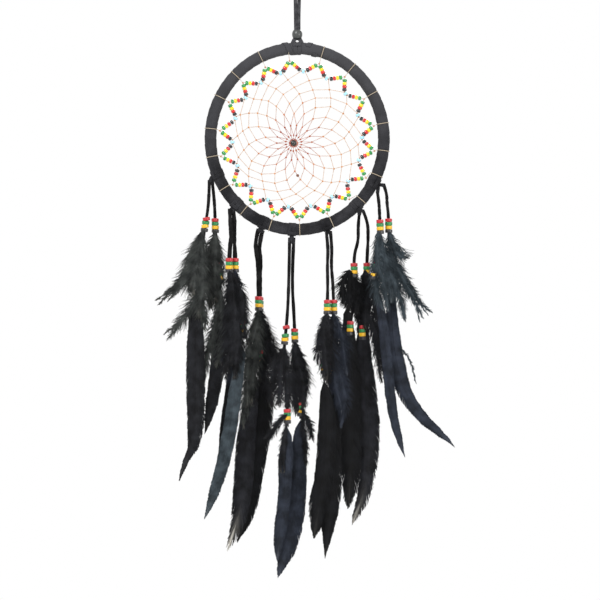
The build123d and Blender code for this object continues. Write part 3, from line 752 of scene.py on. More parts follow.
# The thread wound round the middle bead: four loose turns at slightly different depths.
WIND_STEPS = 24
for turn_order, (radius, forward) in enumerate(((3.1, 0.5), (3.1, -0.4), (3.55, 0.15), (3.85, -0.1))):
    first = len(verts)
    for i in range(WIND_STEPS):
        turn = i * math.tau / WIND_STEPS
        reach = radius + 0.12 * math.sin(3 * turn + turn_order)
        spot = WEB_MIDDLE + Vector((reach * math.cos(turn), reach * math.sin(turn)))
        edges.append((first + i, first + (i + 1) % WIND_STEPS))
        verts.append(flat_place(spot, forward + 0.15 * math.sin(2 * turn)))
strung_count = len(verts)
verts += [flat_place(spot) for spot in knots]
net_lines = bpy.data.meshes.new("net_lines")
net_lines.from_pydata(verts, edges, [])
tied = net_lines.attributes.new("knot", "BOOLEAN", "POINT")
tied.data.foreach_set("value", [i >= strung_count for i in range(len(verts))])
net = grow("beaded_net", net_lines, thread_tree, {"Finish": thread_finish, "Knot finish": knot_finish})
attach(net, "hoop")
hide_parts("web_thread")

# Each tie to the band is a turn of the same thread, left undyed, so it shows pale on the suede.
tie_finish = mottled("undyed_linen_thread", 0.6, "#7C6E5C", "#C2B49C", patch_mm=0.8, detail=3.0)
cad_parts["web_anchor_turns"].material_slots[0].material = tie_finish

# ---- Seed beads ----
# Opaque glass seed beads, four to each leg of the zigzag and a blue one at each point. They are
# drawn, cut and tumbled round, so no two are quite alike: even colour and a wet gloss.
FINISHES = ("Finish 1", "Finish 2", "Finish 3", "Finish 4")
sizes = {"Across": 6.6 * MM, "Height": 3.2 * MM, "Hole": 4.3 * MM, "Rounding": 0.9 * MM}
counts = {"Facets": 24, "Rounding steps": 3, "Seed": 5}
tree, given = new_tree("rounded_beads", "Bead places", sizes, counts, FINISHES, "Beads")
bead_tree = tree
wall = add_node(tree, "ShaderNodeMath", {0: given["Across"], 1: given["Hole"]}, operation="SUBTRACT")
half_wall = add_node(tree, "ShaderNodeMath", {0: wall, 1: 0.5}, operation="MULTIPLY")
sum_of = add_node(tree, "ShaderNodeMath", {0: given["Across"], 1: given["Hole"]})
ring_r = add_node(tree, "ShaderNodeMath", {0: sum_of, 1: 0.25}, operation="MULTIPLY")
section = add_node(
    tree, "GeometryNodeCurvePrimitiveQuadrilateral", {"Width": half_wall, "Height": given["Height"]}
)
rounded = add_node(
    tree,
    "GeometryNodeFilletCurve",
    {"Curve": section, "Count": given["Rounding steps"], "Radius": given["Rounding"], "Limit Radius": True},
    mode="POLY",
)
ring = add_node(tree, "GeometryNodeCurvePrimitiveCircle", {"Resolution": given["Facets"], "Radius": ring_r})
bead = add_node(tree, "GeometryNodeCurveToMesh", {"Curve": ring, "Profile Curve": rounded})
turn = add_node(tree, "GeometryNodeInputNamedAttribute", {"Name": "turn"}, data_type="FLOAT_VECTOR")
turned = add_node(tree, "FunctionNodeEulerToRotation", {0: turn})
size = add_node(tree, "FunctionNodeRandomValue", {"Min": 0.96, "Max": 1.03, "Seed": given["Seed"]}, output=1)
strung = add_node(
    tree,
    "GeometryNodeInstanceOnPoints",
    {"Points": given["Bead places"], "Instance": bead, "Rotation": turned, "Scale": size},
)
shown = add_node(tree, "GeometryNodeRealizeInstances", {0: strung})
colour = add_node(tree, "GeometryNodeInputNamedAttribute", {"Name": "colour"}, data_type="INT")
for order, key in enumerate(FINISHES):
    chosen = add_node(tree, "FunctionNodeCompare", {2: colour, 3: order}, data_type="INT", operation="EQUAL")
    shown = add_node(
        tree, "GeometryNodeSetMaterial", {"Geometry": shown, "Selection": chosen, "Material": given[key]}
    )
add_node(tree, "NodeGroupOutput", {"Beads": shown})

SEED_SHAPE = {
    "Across": 4.1 * MM, "Height": 2.7 * MM, "Hole": 1.1 * MM, "Rounding": 0.95 * MM, "Facets": 12,
    "Rounding steps": 2,
}  # fmt: skip


def place_beads(name, places, inputs, body, node):
    """Grows beads at their places, each a spot, its turn and the number of its finish."""
    mesh = bpy.data.meshes.new("places")
    mesh.from_pydata([spot for spot, _, _ in places], [], [])
    turns = mesh.attributes.new("turn", "FLOAT_VECTOR", "POINT")
    turns.data.foreach_set("vector", [part for _, turn, _ in places for part in turn])
    colours = mesh.attributes.new("colour", "INT", "POINT")
    colours.data.foreach_set("value", [finish for _, _, finish in places])
    beads = grow(name, mesh, bead_tree, inputs)
    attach(beads, body)
    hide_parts(node)


def thread_spot(top, bottom, distance):
    """A bead's place and turn on a straight thread, that far from its top."""
    way = (bottom - top).normalized()
    return Vector(flat_place(top + way * distance)), (0, math.atan2(way.x, way.y), 0)


SHORT_LEG = 12.4
FIRST_BEAD = 2.65
SEED_BEAD_PITCH = 2.6


def leg_spot(top, bottom, order):
    """The place of a leg's bead. What thread a longer leg has to spare is shared out."""
    spare = (bottom - top).length - SHORT_LEG
    first = FIRST_BEAD + 0.42 * spare
    return thread_spot(top, bottom, first + order * (SEED_BEAD_PITCH + 0.1 * spare))


for order, (label, colour, deep) in enumerate(
    (
        ("green", "#2E9C4C", "#1A7434"),
        ("yellow", "#F6DC12", "#E6B808"),
        ("red", "#D8241E", "#A81616"),
        ("black", "#0C0C0E", "#1A1A1D"),
        ("blue", "#AEDDEC", "#8CC4DA"),
    )
):
    glass = mottled(f"opaque_{label}_glass", 0.12, colour, deep, 5, 2.0, Coat_Weight=0.5, Coat_Roughness=0.05)
    spots = []
    for column in range(COLUMNS):
        if label == "blue":
            spots.append(thread_spot(vertex(column, -1), vertex(column, 1), BLUE_HALF))
        else:
            spots.append(leg_spot(apex(column), vertex(column, -1), order))
            spots.append(leg_spot(apex(column + 1), vertex(column, 1), order))
    inputs = {**SEED_SHAPE, "Seed": order, "Finish 1": glass}
    places = [(spot, turn, 0) for spot, turn in spots]
    place_beads(f"seed_beads_{label}", places, inputs, "hoop", f"web_beads_{label}")

# The middle bead is black glass with a green cast; the stray one caught below it is brown.
glass, tree, shader = new_material("dark_glass_beads", 0.15, Coat_Weight=0.6, Coat_Roughness=0.05)
place = add_node(tree, "ShaderNodeTexCoord", output="Object")
height = add_node(tree, "ShaderNodeSeparateXYZ", {0: place}, output="Z")
BROWN_BEAD_TOP_Z = -170 * MM
is_brown = add_node(tree, "ShaderNodeMath", {0: height, 1: BROWN_BEAD_TOP_Z}, operation="LESS_THAN")
tones = {"Factor": is_brown, 6: to_linear("#0E1512"), 7: to_linear("#6B3A1E")}
tone = add_node(tree, "ShaderNodeMix", tones, output=2, data_type="RGBA")
tree.links.new(tone, shader.inputs["Base Color"])
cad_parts["web_middle_beads"].material_slots[0].material = glass

# The bead above the hoop is grey fired clay, rubbed smooth.
clay = mottled("grey_clay_bead", 0.38, "#1E201F", "#454846", patch_mm=1.2, detail=4.0, Coat_Weight=0.2)
BEAD_MIDDLE_Z, BEAD_HEIGHT, BEAD_BORE_R, BEAD_BULGE = -54.4 * MM, 8.0 * MM, 2.85 * MM, 1.45 * MM
profile = [(BEAD_BORE_R, 0.5), (BEAD_BORE_R, -0.5)]
for i in range(13):
    share = i / 12
    profile.append((BEAD_BORE_R + 0.35 * MM + BEAD_BULGE * math.sin(math.pi * share) ** 0.7, share - 0.5))
ROUND = 32
verts, faces = [], []
for i in range(ROUND):
    turn = i * math.tau / ROUND
    for k, (radius, height) in enumerate(profile):
        verts.append((radius * math.cos(turn), radius * math.sin(turn), BEAD_MIDDLE_Z + height * BEAD_HEIGHT))
        here, above = i * len(profile), (i + 1) % ROUND * len(profile)
        after = (k + 1) % len(profile)
        faces.append((here + k, above + k, above + after, here + after))
round_bead = make_piece("round_grey_bead", (verts, faces), clay)
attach(round_bead, "hang_bead")
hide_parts("hang_bead")

# ---- Disc beads ----
# Turned wooden beads dipped in satin paint, four to a stack: red, green, yellow and black. They
# are jammed on the lace and quills; a few ride loose above their stack.
paints = []
for label, colour, worn in (
    ("red", "#C4202A", "#8C141A"),
    ("green", "#1F8A48", "#135C2E"),
    ("yellow", "#F0C01E", "#C68E12"),
    ("black", "#151416", "#2B2A2C"),
):
    gloss = {"Coat_Weight": 0.25, "Coat_Roughness": 0.2}
    name = f"satin_{label}_paint_on_wood"
    paint = mottled(name, 0.32, colour, worn, 2.4, 4.0, fineness=0.6, relief_mm=0.2, **gloss)
    paints.append(paint)

BEADS_A_STACK = 4
BEAD_PITCH = 3.3


def on_lace(strand, z):
    """A bead's middle on its strand at that height, and how far the lace leans there."""
    for a, b in zip(strand["lace"], strand["lace"][1:]):
        if b[2] <= z <= a[2]:
            break
    x = a[0] + (b[0] - a[0]) * (z - a[2]) / (b[2] - a[2])
    return Vector((x, strand["depth"], z)), math.atan2(a[0] - b[0], a[2] - b[2])


def string_beads(name, strand, heights, tilt, body, node, seed):
    """Strings beads on a lace from (height, colour) pairs, none of them quite square to it."""
    shake = random.Random(seed)
    places = []
    for z, colour in heights:
        spot, lean = on_lace(strand, z)
        turn = (shake.uniform(-0.06, 0.06) + tilt, lean + shake.uniform(-0.05, 0.05), shake.uniform(0, 6))
        places.append((spot * MM, turn, colour))
    inputs = {"Seed": seed, **dict(zip(FINISHES, paints))}
    place_beads(name, places, inputs, body, node)


STRAIGHT, LEANING, SLUMPED = 0.0, 0.05, 0.2  # how far beads tip from square on their lace, radians
for order, (name, strand) in enumerate(STRANDS.items()):
    loose = strand.get("loose", {"stack": None, "at": []})
    heights = []
    for stack in ("upper", "lower"):
        missing = len(loose["at"]) if loose["stack"] == stack else 0
        for bead_order in range(BEADS_A_STACK - missing):
            heights.append((strand[stack] - bead_order * BEAD_PITCH, bead_order + missing))
    body = f"strand_{name}"
    string_beads(f"{body}_discs", strand, heights, STRAIGHT, body, f"{body}_beads", order + 10)
    if loose["stack"]:
        heights = [(z, bead_order) for bead_order, z in enumerate(loose["at"])]
        tilt = SLUMPED if name == "4a" else LEANING
        string_beads(f"{loose['node']}_disc", strand, heights, tilt, loose["node"], loose["node"], order + 40)

# ---- Feathers ----
# Goose and hackle feathers dyed near black, their quills jammed in the beads. The long ones are
# stiff vanes with splits and frayed, paler tips; the short ones are loose fluff over the lace.


def feather_finish(name, deep, tint, frayed):
    """Dyed feather: near black with a soft silky gloss, its dye cloudy and its tip worn."""
    material, tree, shader = new_material(name, 0.6, Sheen_Weight=0.04, Sheen_Roughness=0.4)
    shader.inputs["Specular IOR Level"].default_value = 0.12
    shader.inputs["Sheen Tint"].default_value = to_linear(tint)
    shade = add_node(tree, "ShaderNodeAttribute", output="Fac", attribute_name="shade")
    along = add_node(tree, "ShaderNodeAttribute", output="Fac", attribute_name="along")
    place = add_node(tree, "ShaderNodeTexCoord", output="Object")
    cloud = add_node(tree, "ShaderNodeTexNoise", {"Vector": place, "Scale": 1 / (9 * MM), "Detail": 4.0})
    uneven = add_node(
        tree,
        "ShaderNodeMapRange",
        {"Value": cloud, "From Min": 0.35, "From Max": 0.7, "To Min": 0.0, "To Max": 0.85},
    )
    streaky = add_node(tree, "ShaderNodeMath", {0: shade, 1: 0.22, 2: uneven}, operation="MULTIPLY_ADD")
    tones = {"Factor": streaky, 6: to_linear(deep), 7: to_linear(tint)}
    body_tone = add_node(tree, "ShaderNodeMix", tones, output=2, data_type="RGBA")
    late = add_node(tree, "ShaderNodeMath", {0: along, 1: 22.0}, operation="POWER")
    some = add_node(tree, "ShaderNodeMath", {0: shade, 1: 1.5}, operation="POWER")
    patchy = add_node(tree, "ShaderNodeMath", {0: late, 1: some}, operation="MULTIPLY")
    tones = {"Factor": patchy, 6: body_tone, 7: to_linear(frayed)}
    tone = add_node(tree, "ShaderNodeMix", tones, output=2, data_type="RGBA")
    tree.links.new(tone, shader.inputs["Base Color"])
    return material


feather_looks = {
    "black": feather_finish("dyed_feather_black", "#060607", "#131417", "#3A3936"),
    "soot": feather_finish("dyed_feather_soot_black", "#0B0B0D", "#25262A", "#45433F"),
    "pale tip": feather_finish("dyed_feather_worn_tip", "#0B0B0D", "#232429", "#E0DBD0"),
    "blue": feather_finish("dyed_feather_blue_black", "#15181E", "#2E333E", "#55585F"),
    "slate": feather_finish("dyed_feather_slate", "#1C2226", "#414A50", "#666B6E"),
    "smoke": feather_finish("dyed_feather_smoke_brown", "#1C1E1E", "#484B49", "#5C5952"),
}

BARB_SIZES = {
    "Barb spacing": 0.45 * MM, "Barb width": 0.55 * MM, "Barb angle": 0.6, "Splits": 0.15,
    "Split length": 6 * MM, "Ruffle": 0.1, "Raggedness": 0.12, "Curl": 0.25, "Cup": 0.15,
    "Waviness": 0.3 * MM, "Wave size": 7 * MM, "Barb taper": 0.7, "Tip closing": 0.9, "Fraying": 0.0,
    "Quill width": 1.0 * MM,
}  # fmt: skip
tree, given = new_tree("feather", "Quill lines", BARB_SIZES, {"Seed": 0}, ["Finish"], "Feathers")
feather_tree = tree
ruled = add_node(
    tree,
    "GeometryNodeResampleCurve",
    {"Curve": given["Quill lines"], "Length": given["Barb spacing"]},
    mode="LENGTH",
)
spline = add_node(tree, "GeometryNodeSplineParameter").node.outputs
barb_length = add_node(tree, "GeometryNodeInputRadius")
for key, value in (("along", spline["Factor"]), ("station", spline["Length"]), ("barb", barb_length)):
    ruled = add_node(
        tree, "GeometryNodeStoreNamedAttribute", {"Geometry": ruled, "Name": key, "Value": value}
    )
rooted = add_node(tree, "GeometryNodeCurveToPoints", {"Curve": ruled}, mode="EVALUATED").node.outputs
shade = add_node(tree, "FunctionNodeRandomValue", {"Seed": given["Seed"]}, output=1)
shaded = add_node(
    tree, "GeometryNodeStoreNamedAttribute", {"Geometry": rooted["Points"], "Name": "shade", "Value": shade}
)
towards_tip = add_node(
    tree, "FunctionNodeAlignRotationToVector", {"Vector": rooted["Tangent"]}, axis="X", pivot_axis="Z"
)
station = add_node(tree, "GeometryNodeInputNamedAttribute", {"Name": "station"})
barb = add_node(tree, "GeometryNodeInputNamedAttribute", {"Name": "barb"})
clump = add_node(tree, "ShaderNodeMath", {0: station, 1: given["Split length"]}, operation="DIVIDE")
# Towards the tip the barbs lie closer to the quill, so that they close the end of the vane.
along = add_node(tree, "GeometryNodeInputNamedAttribute", {"Name": "along"})
late = add_node(tree, "ShaderNodeMath", {0: along, 1: 5.0}, operation="POWER")
closed = add_node(tree, "ShaderNodeMath", {0: late, 1: given["Tip closing"]}, operation="MULTIPLY")
narrowing = add_node(tree, "ShaderNodeMath", {0: 1.0, 1: closed}, operation="SUBTRACT")
frayed = add_node(
    tree, "ShaderNodeMath", {0: late, 1: given["Fraying"], 2: given["Raggedness"]}, operation="MULTIPLY_ADD"
)
vanes = []
for side in (1, -1):
    side_seed = add_node(tree, "ShaderNodeMath", {0: given["Seed"], 1: 11.3 * side})
    shifted = add_node(tree, "ShaderNodeMath", {0: clump, 1: side_seed})
    split = add_node(
        tree, "ShaderNodeTexNoise", {"W": shifted, "Scale": 1.0, "Detail": 1.0}, noise_dimensions="1D"
    )
    centred_split = add_node(tree, "ShaderNodeMath", {0: split, 1: 0.5}, operation="SUBTRACT")
    swing = add_node(tree, "ShaderNodeMath", {0: centred_split, 1: given["Splits"]}, operation="MULTIPLY")
    jitter = add_node(tree, "FunctionNodeRandomValue", {"Min": -1.0, "Max": 1.0, "Seed": side_seed}, output=1)
    stray = add_node(
        tree, "ShaderNodeMath", {0: jitter, 1: given["Ruffle"], 2: swing}, operation="MULTIPLY_ADD"
    )
    spread = add_node(
        tree, "ShaderNodeMath", {0: given["Barb angle"], 1: narrowing, 2: stray}, operation="MULTIPLY_ADD"
    )
    signed = add_node(tree, "ShaderNodeMath", {0: spread, 1: float(side)}, operation="MULTIPLY")
    open_out = add_node(tree, "FunctionNodeAxisAngleToRotation", {"Axis": (0, 0, 1), "Angle": signed})
    pointed = add_node(
        tree,
        "FunctionNodeRotateRotation",
        {"Rotation": towards_tip, "Rotate By": open_out},
        rotation_space="LOCAL",
    )
    bend_back = add_node(tree, "ShaderNodeMath", {0: given["Curl"], 1: -float(side)}, operation="MULTIPLY")
    dip = add_node(tree, "ShaderNodeMath", {0: given["Cup"], 1: -1.0}, operation="MULTIPLY")
    barb_end = add_node(tree, "ShaderNodeCombineXYZ", {"X": 1.0, "Y": bend_back, "Z": dip})
    template = add_node(
        tree,
        "GeometryNodeCurveQuadraticBezier",
        {"Resolution": 4, "Start": (0, 0, 0), "Middle": (0.55, 0, 0), "End": barb_end},
    )
    ragged = add_node(tree, "ShaderNodeMath", {0: jitter, 1: frayed, 2: 1.0}, operation="MULTIPLY_ADD")
    barb_size = add_node(tree, "ShaderNodeMath", {0: ragged, 1: barb}, operation="MULTIPLY")
    vanes.append(
        add_node(
            tree,
            "GeometryNodeInstanceOnPoints",
            {"Points": shaded, "Instance": template, "Rotation": pointed, "Scale": barb_size},
        )
    )
both = add_node(tree, "GeometryNodeJoinGeometry", {0: vanes})
barbs = add_node(tree, "GeometryNodeRealizeInstances", {0: both})
reach = add_node(tree, "GeometryNodeSplineParameter")
barbs = add_node(
    tree, "GeometryNodeStoreNamedAttribute", {"Geometry": barbs, "Name": "reach", "Value": reach}
)
here = add_node(tree, "GeometryNodeInputPosition")
wave_scale = add_node(tree, "ShaderNodeMath", {0: 1.0, 1: given["Wave size"]}, operation="DIVIDE")
drift = add_node(
    tree, "ShaderNodeTexNoise", {"Vector": here, "Scale": wave_scale, "Detail": 2.0}, output="Color"
)
centred_drift = add_node(tree, "ShaderNodeVectorMath", {0: drift, 1: (0.5, 0.5, 0.5)}, operation="SUBTRACT")
wave = add_node(tree, "ShaderNodeMath", {0: reach, 1: given["Waviness"]}, operation="MULTIPLY")
offset = add_node(tree, "ShaderNodeVectorMath", {0: centred_drift, "Scale": wave}, operation="SCALE")
waved = add_node(tree, "GeometryNodeSetPosition", {"Geometry": barbs, "Offset": offset})
flat = add_node(tree, "GeometryNodeSetCurveNormal", {"Curve": waved}, mode="Z_UP")
tilted = add_node(tree, "GeometryNodeSetCurveTilt", {"Curve": flat, "Tilt": 0.3})
barb_half = add_node(tree, "ShaderNodeMath", {0: given["Barb width"], 1: 0.5}, operation="MULTIPLY")
barb_round = add_node(tree, "GeometryNodeCurvePrimitiveCircle", {"Resolution": 3, "Radius": barb_half})
barb_section = add_node(tree, "GeometryNodeTransform", {"Geometry": barb_round, "Scale": (1, 0.25, 1)})
thinned = add_node(tree, "ShaderNodeMath", {0: reach, 1: given["Barb taper"]}, operation="MULTIPLY")
taper = add_node(tree, "ShaderNodeMath", {0: 1.0, 1: thinned}, operation="SUBTRACT")
barb_mesh = add_node(
    tree,
    "GeometryNodeCurveToMesh",
    {"Curve": tilted, "Profile Curve": barb_section, "Scale": taper, "Fill Caps": True},
)
spaced = add_node(
    tree, "GeometryNodeResampleCurve", {"Curve": given["Quill lines"], "Length": 2.5 * MM}, mode="LENGTH"
)
quill_half = add_node(tree, "ShaderNodeMath", {0: given["Quill width"], 1: 0.5}, operation="MULTIPLY")
quill_round = add_node(tree, "GeometryNodeCurvePrimitiveCircle", {"Resolution": 8, "Radius": quill_half})
quill_taper = add_node(
    tree, "ShaderNodeMath", {0: spline["Factor"], 1: -0.88, 2: 1.0}, operation="MULTIPLY_ADD"
)
quill_mesh = add_node(
    tree,
    "GeometryNodeCurveToMesh",
    {"Curve": spaced, "Profile Curve": quill_round, "Scale": quill_taper, "Fill Caps": True},
)
whole = add_node(tree, "GeometryNodeJoinGeometry", {0: [barb_mesh, quill_mesh]})
realized = add_node(tree, "GeometryNodeRealizeInstances", {0: whole})
finished = add_node(tree, "GeometryNodeSetMaterial", {"Geometry": realized, "Material": given["Finish"]})
add_node(tree, "NodeGroupOutput", {"Feathers": finished})

FLUFF_SPREAD = 0.55
BLADE_SPREAD = 0.5
BARB_SHARE = 0.6  # of the feather's width: over half, as the barbs' ends are thin


def quill_line(curve, route, y, spread, lift=0.8):
    """Adds one feather's midrib, from points (x, z, width). A point's radius is its barb length."""
    spline = curve.splines.new("NURBS")
    spline.points.add(len(route) - 1)
    for i, (point, (x, z, width)) in enumerate(zip(spline.points, route)):
        forward = -y + lift * math.sin(math.pi * i / (len(route) - 1))
        point.co = (x * MM, z * MM, forward * MM, 1)
        point.radius = BARB_SHARE * width / math.sin(spread) * MM
    spline.order_u = 3
    spline.use_endpoint_u = True
    spline.resolution_u = 8


def new_quills():
    curve = bpy.data.curves.new("quills", "CURVE")
    curve.dimensions = "3D"
    return curve


def grow_feathers(name, curve, strand_name, look, inputs):
    feathers = grow(name, curve, feather_tree, {"Finish": feather_looks[look], **inputs})
    feathers.data.transform(Matrix.Rotation(math.radians(90), 4, "X"))
    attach(feathers, f"strand_{strand_name}")
    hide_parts(f"strand_{strand_name}_feathers")


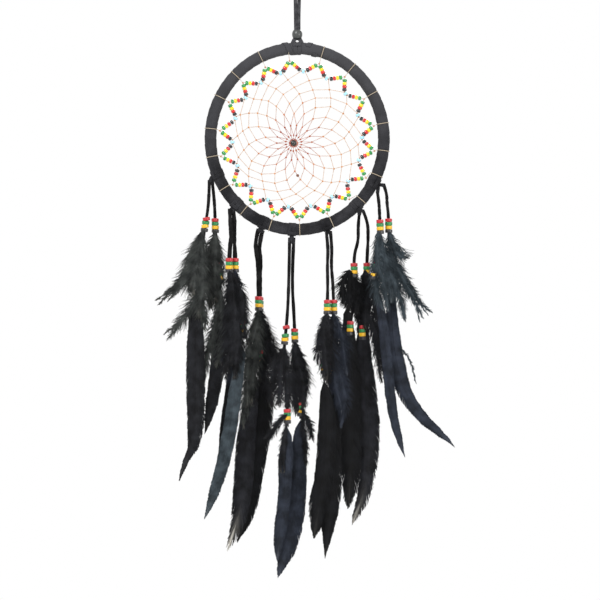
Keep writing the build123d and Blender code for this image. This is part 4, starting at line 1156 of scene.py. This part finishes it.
# On each strand: the looks of its fluff and of its long blade, the blade's midrib as x, z and
# width, and the fluffy hackles, each from where it leaves its beads to its tip with its width.
FEATHERS = {
    "1a": {
        "looks": ("smoke", "soot"),
        "blade": [
            (-88.5, -284, 7), (-90.5, -300, 12), (-91.3, -340, 14.5), (-91, -385, 14.5), (-91.8, -410, 13),
            (-94, -422, 9), (-98, -432, 11.5), (-101, -441, 12),
        ],
        "hackles": [
            [(-84, -230, 3), (-87, -243, 14), (-91, -262, 20), (-93, -285, 9)],
            [(-84, -231, 3), (-90, -244, 13), (-95, -262, 12), (-103, -278, 7), (-115, -290, 2)],
            [(-85, -232, 3), (-93, -250, 9), (-100, -271, 8), (-113, -285, 4), (-124, -297, 1.5)],
            [(-86, -236, 6), (-84, -262, 16), (-86, -290, 14), (-88, -306, 5)],
            [(-88, -282, 4), (-95, -298, 12), (-104, -314, 7), (-116, -328, 2)],
            [(-88, -284, 4), (-84, -300, 10), (-83, -318, 4)],
        ],
    },
    "1b": {
        "looks": ("smoke", "soot"),
        "blade": [
            (-69.3, -286, 6), (-69.5, -310, 10), (-71, -345, 11), (-75, -375, 11), (-79, -395, 9),
            (-82, -408, 5),
        ],
        "hackles": [
            [(-74, -231, 3), (-74, -246, 13), (-75, -266, 15), (-77, -292, 7)],
            [(-74, -231, 3), (-70, -250, 10), (-69, -272, 12), (-72, -296, 5)],
            [(-74, -233, 4), (-79, -252, 14), (-80, -275, 14), (-78, -298, 5)],
            [(-69, -284, 4), (-66, -305, 10), (-64, -328, 9), (-72, -352, 3)],
            [(-69, -290, 4), (-76, -322, 10), (-84, -352, 10), (-88, -372, 3)],
        ],
    },
    "2a": {
        "looks": ("soot", "slate"),
        "blade": [
            (-49, -334, 7), (-53, -360, 10), (-58, -395, 10.5), (-63, -425, 11), (-69, -448, 11.5),
            (-75, -468, 10), (-80, -481, 7),
        ],
        "hackles": [
            [(-60, -267, 4), (-59, -285, 10), (-58, -308, 13), (-57, -332, 9), (-58, -350, 3)],
            [(-60, -267, 4), (-54, -284, 9), (-50, -302, 11), (-47, -318, 6), (-46, -328, 2)],
            [(-60, -268, 4), (-61, -290, 9), (-62, -318, 12), (-61, -345, 9), (-64, -362, 3)],
            [(-56, -300, 8), (-53, -320, 12), (-52, -342, 9), (-55, -362, 3)],
        ],
    },
    "2b": {
        "looks": ("blue", "black"),
        "blade": [(-54.4, -334, 7), (-57, -362, 10), (-61, -390, 10), (-65, -412, 8), (-69, -428, 4)],
        "hackles": [
            [(-55.5, -267, 4), (-54, -286, 10), (-53, -308, 11), (-55, -332, 6)],
            [(-55.5, -268, 4), (-51, -287, 8), (-48, -303, 9), (-47, -318, 3)],
            [(-55, -300, 8), (-59, -325, 10), (-61, -350, 9), (-60, -370, 3)],
            [(-54, -330, 4), (-57, -348, 8), (-57, -368, 7), (-56, -384, 3)],
        ],
    },
    "3a": {
        "looks": ("smoke", "pale tip"),
        "blade": [
            (-39, -357, 9), (-42, -385, 13), (-46, -417, 15), (-48, -450, 16), (-50.5, -475, 15),
            (-54, -492, 14), (-57.5, -502, 13),
        ],
        "hackles": [
            [(-35, -302, 4), (-39, -318, 10), (-43, -338, 12), (-44, -362, 11), (-44, -384, 5)],
            [(-35, -302, 4), (-35, -320, 11), (-37, -338, 12), (-40, -360, 9), (-41, -384, 4)],
            [(-38, -345, 4), (-43, -365, 12), (-45, -388, 11), (-45, -408, 4)],
        ],
    },
    "3b": {
        "looks": ("soot", "black"),
        "blade": [
            (-32, -358, 9), (-29.5, -375, 15), (-32, -400, 17), (-36, -425, 17), (-40, -451, 16),
            (-43, -475, 14), (-47, -492, 11), (-51, -503, 8),
        ],
        "hackles": [
            [(-33.8, -302, 4), (-30, -318, 13), (-27, -337, 14), (-25, -352, 4)],
            [(-33.8, -302, 4), (-27, -322, 11), (-21, -340, 11), (-15, -358, 3)],
            [(-34, -304, 4), (-34, -325, 16), (-32, -348, 14), (-30, -368, 5)],
            [(-33, -345, 5), (-29, -362, 13), (-25, -385, 5)],
        ],
    },
    "4a": {
        "looks": ("soot", "blue"),
        "blade": [
            (-8.9, -408, 7), (-9.2, -420, 12), (-10.5, -441, 10), (-11, -463, 10), (-13.5, -487, 11.5),
            (-16, -506, 11), (-17, -518, 8),
        ],
        "hackles": [
            [(-12, -335, 4), (-15, -350, 13), (-16, -368, 11), (-15, -386, 4)],
            [(-12, -335, 4), (-9, -352, 12), (-6, -372, 10), (-8, -392, 3)],
            [(-11.5, -336, 4), (-19, -348, 9), (-22, -362, 8), (-20, -378, 2)],
            [(-9, -396, 3), (-15, -402, 7), (-21, -411, 6), (-26, -420, 1.5)],
            [(-9, -402, 3), (-14, -424, 7), (-15, -446, 3)],
        ],
    },
    "4b": {
        "looks": ("soot", "blue"),
        "blade": [
            (3, -402, 7), (1.6, -418, 12.5), (0.7, -452, 14.5), (-1.5, -481, 16), (-6, -507, 15),
            (-11, -523, 12), (-14.5, -534, 8),
        ],
        "hackles": [
            [(-2, -331, 4), (1, -346, 13), (4, -364, 14), (4, -388, 5)],
            [(-2, -331, 4), (-3, -350, 12), (-3, -372, 12), (-1, -394, 4)],
            [(-1.5, -332, 4), (5, -350, 9), (8, -368, 7), (7, -384, 2)],
            [(3.4, -390, 3), (7, -398, 7), (11, -408, 6), (14.5, -420, 1.5)],
            [(3.4, -396, 3), (8, -416, 7), (8, -440, 3)],
        ],
    },
    "5a": {
        "looks": ("soot", "black"),
        "blade": [
            (24.2, -366, 8), (26.5, -385, 14), (26.5, -421, 15), (24.5, -446, 16), (20, -468, 16),
            (18, -484, 14), (16.8, -494, 10),
        ],
        "hackles": [
            [(27, -305, 4), (25.5, -322, 11), (24, -342, 10), (24, -360, 4)],
            [(27, -305, 4), (29, -324, 13), (28, -346, 12), (27, -366, 4)],
            [(27, -305, 4), (22, -320, 7), (19, -336, 6), (18, -350, 2)],
        ],
    },
    "5b": {
        "looks": ("blue", "black"),
        "blade": [
            (32, -366, 8), (32, -385, 13), (31.5, -421, 14), (31.5, -446, 16), (30, -470, 15),
            (28, -492, 11), (26.5, -510, 7), (25.5, -520, 4),
        ],
        "hackles": [
            [(32, -305, 4), (33, -322, 12), (35, -344, 15), (36, -368, 12), (37, -388, 4)],
            [(32, -305, 4), (38, -318, 11), (42, -336, 10), (42, -354, 3)],
            [(32, -306, 4), (31, -328, 13), (31, -352, 14), (33, -376, 5)],
            [(33, -345, 5), (40, -362, 12), (41, -384, 9), (40, -402, 3)],
        ],
    },
    "6a": {
        "looks": ("black", "black"),
        "blade": [
            (45, -300, 6), (46.5, -328, 16), (47, -365, 19), (47, -400, 19), (48, -430, 20), (48, -450, 19),
            (47, -464, 14),
        ],
        "hackles": [
            [(47, -266, 4), (43, -273, 11), (40, -283, 10), (41, -296, 3)],
            [(47, -266, 4), (50, -276, 11), (50, -290, 10), (46, -302, 3)],
            [(47, -268, 4), (54, -276, 10), (57, -290, 9), (54, -304, 3)],
            [(47, -268, 4), (46, -282, 12), (44, -298, 4)],
        ],
    },
    "6b": {
        "looks": ("soot", "pale tip"),
        "blade": [
            (61, -304, 6), (59, -330, 15), (61, -365, 18), (64, -400, 17), (65, -427, 15), (63, -449, 14.5),
            (60.5, -466, 13), (56, -480, 10), (53, -488, 7),
        ],
        "hackles": [
            [(61, -266, 4), (63, -280, 12), (64, -297, 13), (63, -318, 5)],
            [(61, -266, 4), (68, -280, 12), (72, -300, 12), (74, -326, 8), (77, -345, 3)],
            [(61, -268, 4), (58, -284, 9), (57, -300, 9), (57, -318, 3)],
            [(61, -300, 4), (69, -320, 10), (73, -345, 8), (76, -366, 3)],
        ],
    },
    "7a": {
        "looks": ("slate", "blue"),
        "blade": [
            (72, -286, 5), (76, -305, 7.5), (79, -331, 8), (81.5, -356, 8), (84.5, -386, 8.5),
            (88, -404, 8.5), (92, -419, 7), (95.5, -430, 4),
        ],
        "hackles": [
            [(73, -232, 4), (72, -246, 12), (74, -262, 14), (78, -280, 10), (80, -296, 4)],
            [(73, -232, 4), (77, -248, 13), (82, -268, 14), (86, -288, 5)],
            [(73, -256, 6), (69, -268, 9), (70, -284, 8), (74, -300, 3)],
            [(80, -262, 6), (88, -278, 9), (94, -296, 6), (96, -311, 2)],
        ],
    },
    "7b": {
        "looks": ("slate", "blue"),
        "blade": [
            (84.5, -284, 7), (85.5, -320, 12.5), (89, -346, 12.5), (95, -372, 11.5), (107, -392, 10),
            (121, -406.5, 9), (132, -416, 7), (138, -422, 4.5),
        ],
        "hackles": [
            [(83, -232, 4), (87, -243, 11), (92, -250, 10), (97, -254, 3)],
            [(83, -232, 4), (83, -250, 13), (86, -268, 15), (89, -288, 5)],
            [(86, -256, 8), (94, -272, 10), (105, -288, 5), (114, -300, 3), (121, -304, 1.5)],
            [(88, -262, 6), (97, -281, 7), (107, -297, 4), (113, -309, 1.5)],
            [(92, -336, 1.5), (99, -342, 2), (104, -354, 2), (107, -368, 1)],
        ],
    },
}  # fmt: skip
for order, (name, made) in enumerate(FEATHERS.items()):
    fluff_look, blade_look = made["looks"]
    front = STRANDS[name]["depth"] - 1.3
    shake = random.Random(700 + order)
    fluff = new_quills()
    for layer, route in enumerate(made["hackles"]):
        depth = front - 1.0 + 0.9 * (layer % 3 - 1)
        quill_line(fluff, route, depth, FLUFF_SPREAD)
        strays = [
            (x + shake.uniform(-3.5, 3.5), z + shake.uniform(-5, 5), width * shake.uniform(0.6, 0.9))
            for x, z, width in route[1:]
        ]
        if route[1][2] > 5:
            quill_line(fluff, route[:1] + strays, depth - 0.6, FLUFF_SPREAD)
    grow_feathers(
        f"strand_{name}_fluff",
        fluff,
        name,
        fluff_look,
        {
            "Barb spacing": 0.40 * MM, "Barb width": 0.8 * MM, "Barb angle": FLUFF_SPREAD, "Splits": 0.8,
            "Split length": 2.2 * MM, "Ruffle": 0.22, "Raggedness": 0.3, "Curl": 0.12, "Cup": 0.15,
            "Waviness": 4.5 * MM, "Wave size": 5 * MM, "Barb taper": 0.75, "Tip closing": 0.6,
            "Quill width": 0.5 * MM, "Seed": 20 + order,
        },
    )  # fmt: skip
    blades = new_quills()
    quill_line(blades, made["blade"], front, BLADE_SPREAD, 0.6)
    grow_feathers(
        f"strand_{name}_blade",
        blades,
        name,
        blade_look,
        {
            "Barb spacing": 0.35 * MM, "Barb width": 0.8 * MM, "Barb angle": BLADE_SPREAD, "Splits": 0.06,
            "Split length": 11 * MM, "Ruffle": 0.012, "Raggedness": 0.035, "Curl": 0.02, "Cup": 0.08,
            "Waviness": 1.6 * MM, "Wave size": 10 * MM, "Barb taper": 0.35, "Tip closing": 0.95,
            "Fraying": 0.3 if blade_look == "pale tip" else 0.05, "Quill width": 1.0 * MM, "Seed": 60 + order,
        },
    )  # fmt: skip
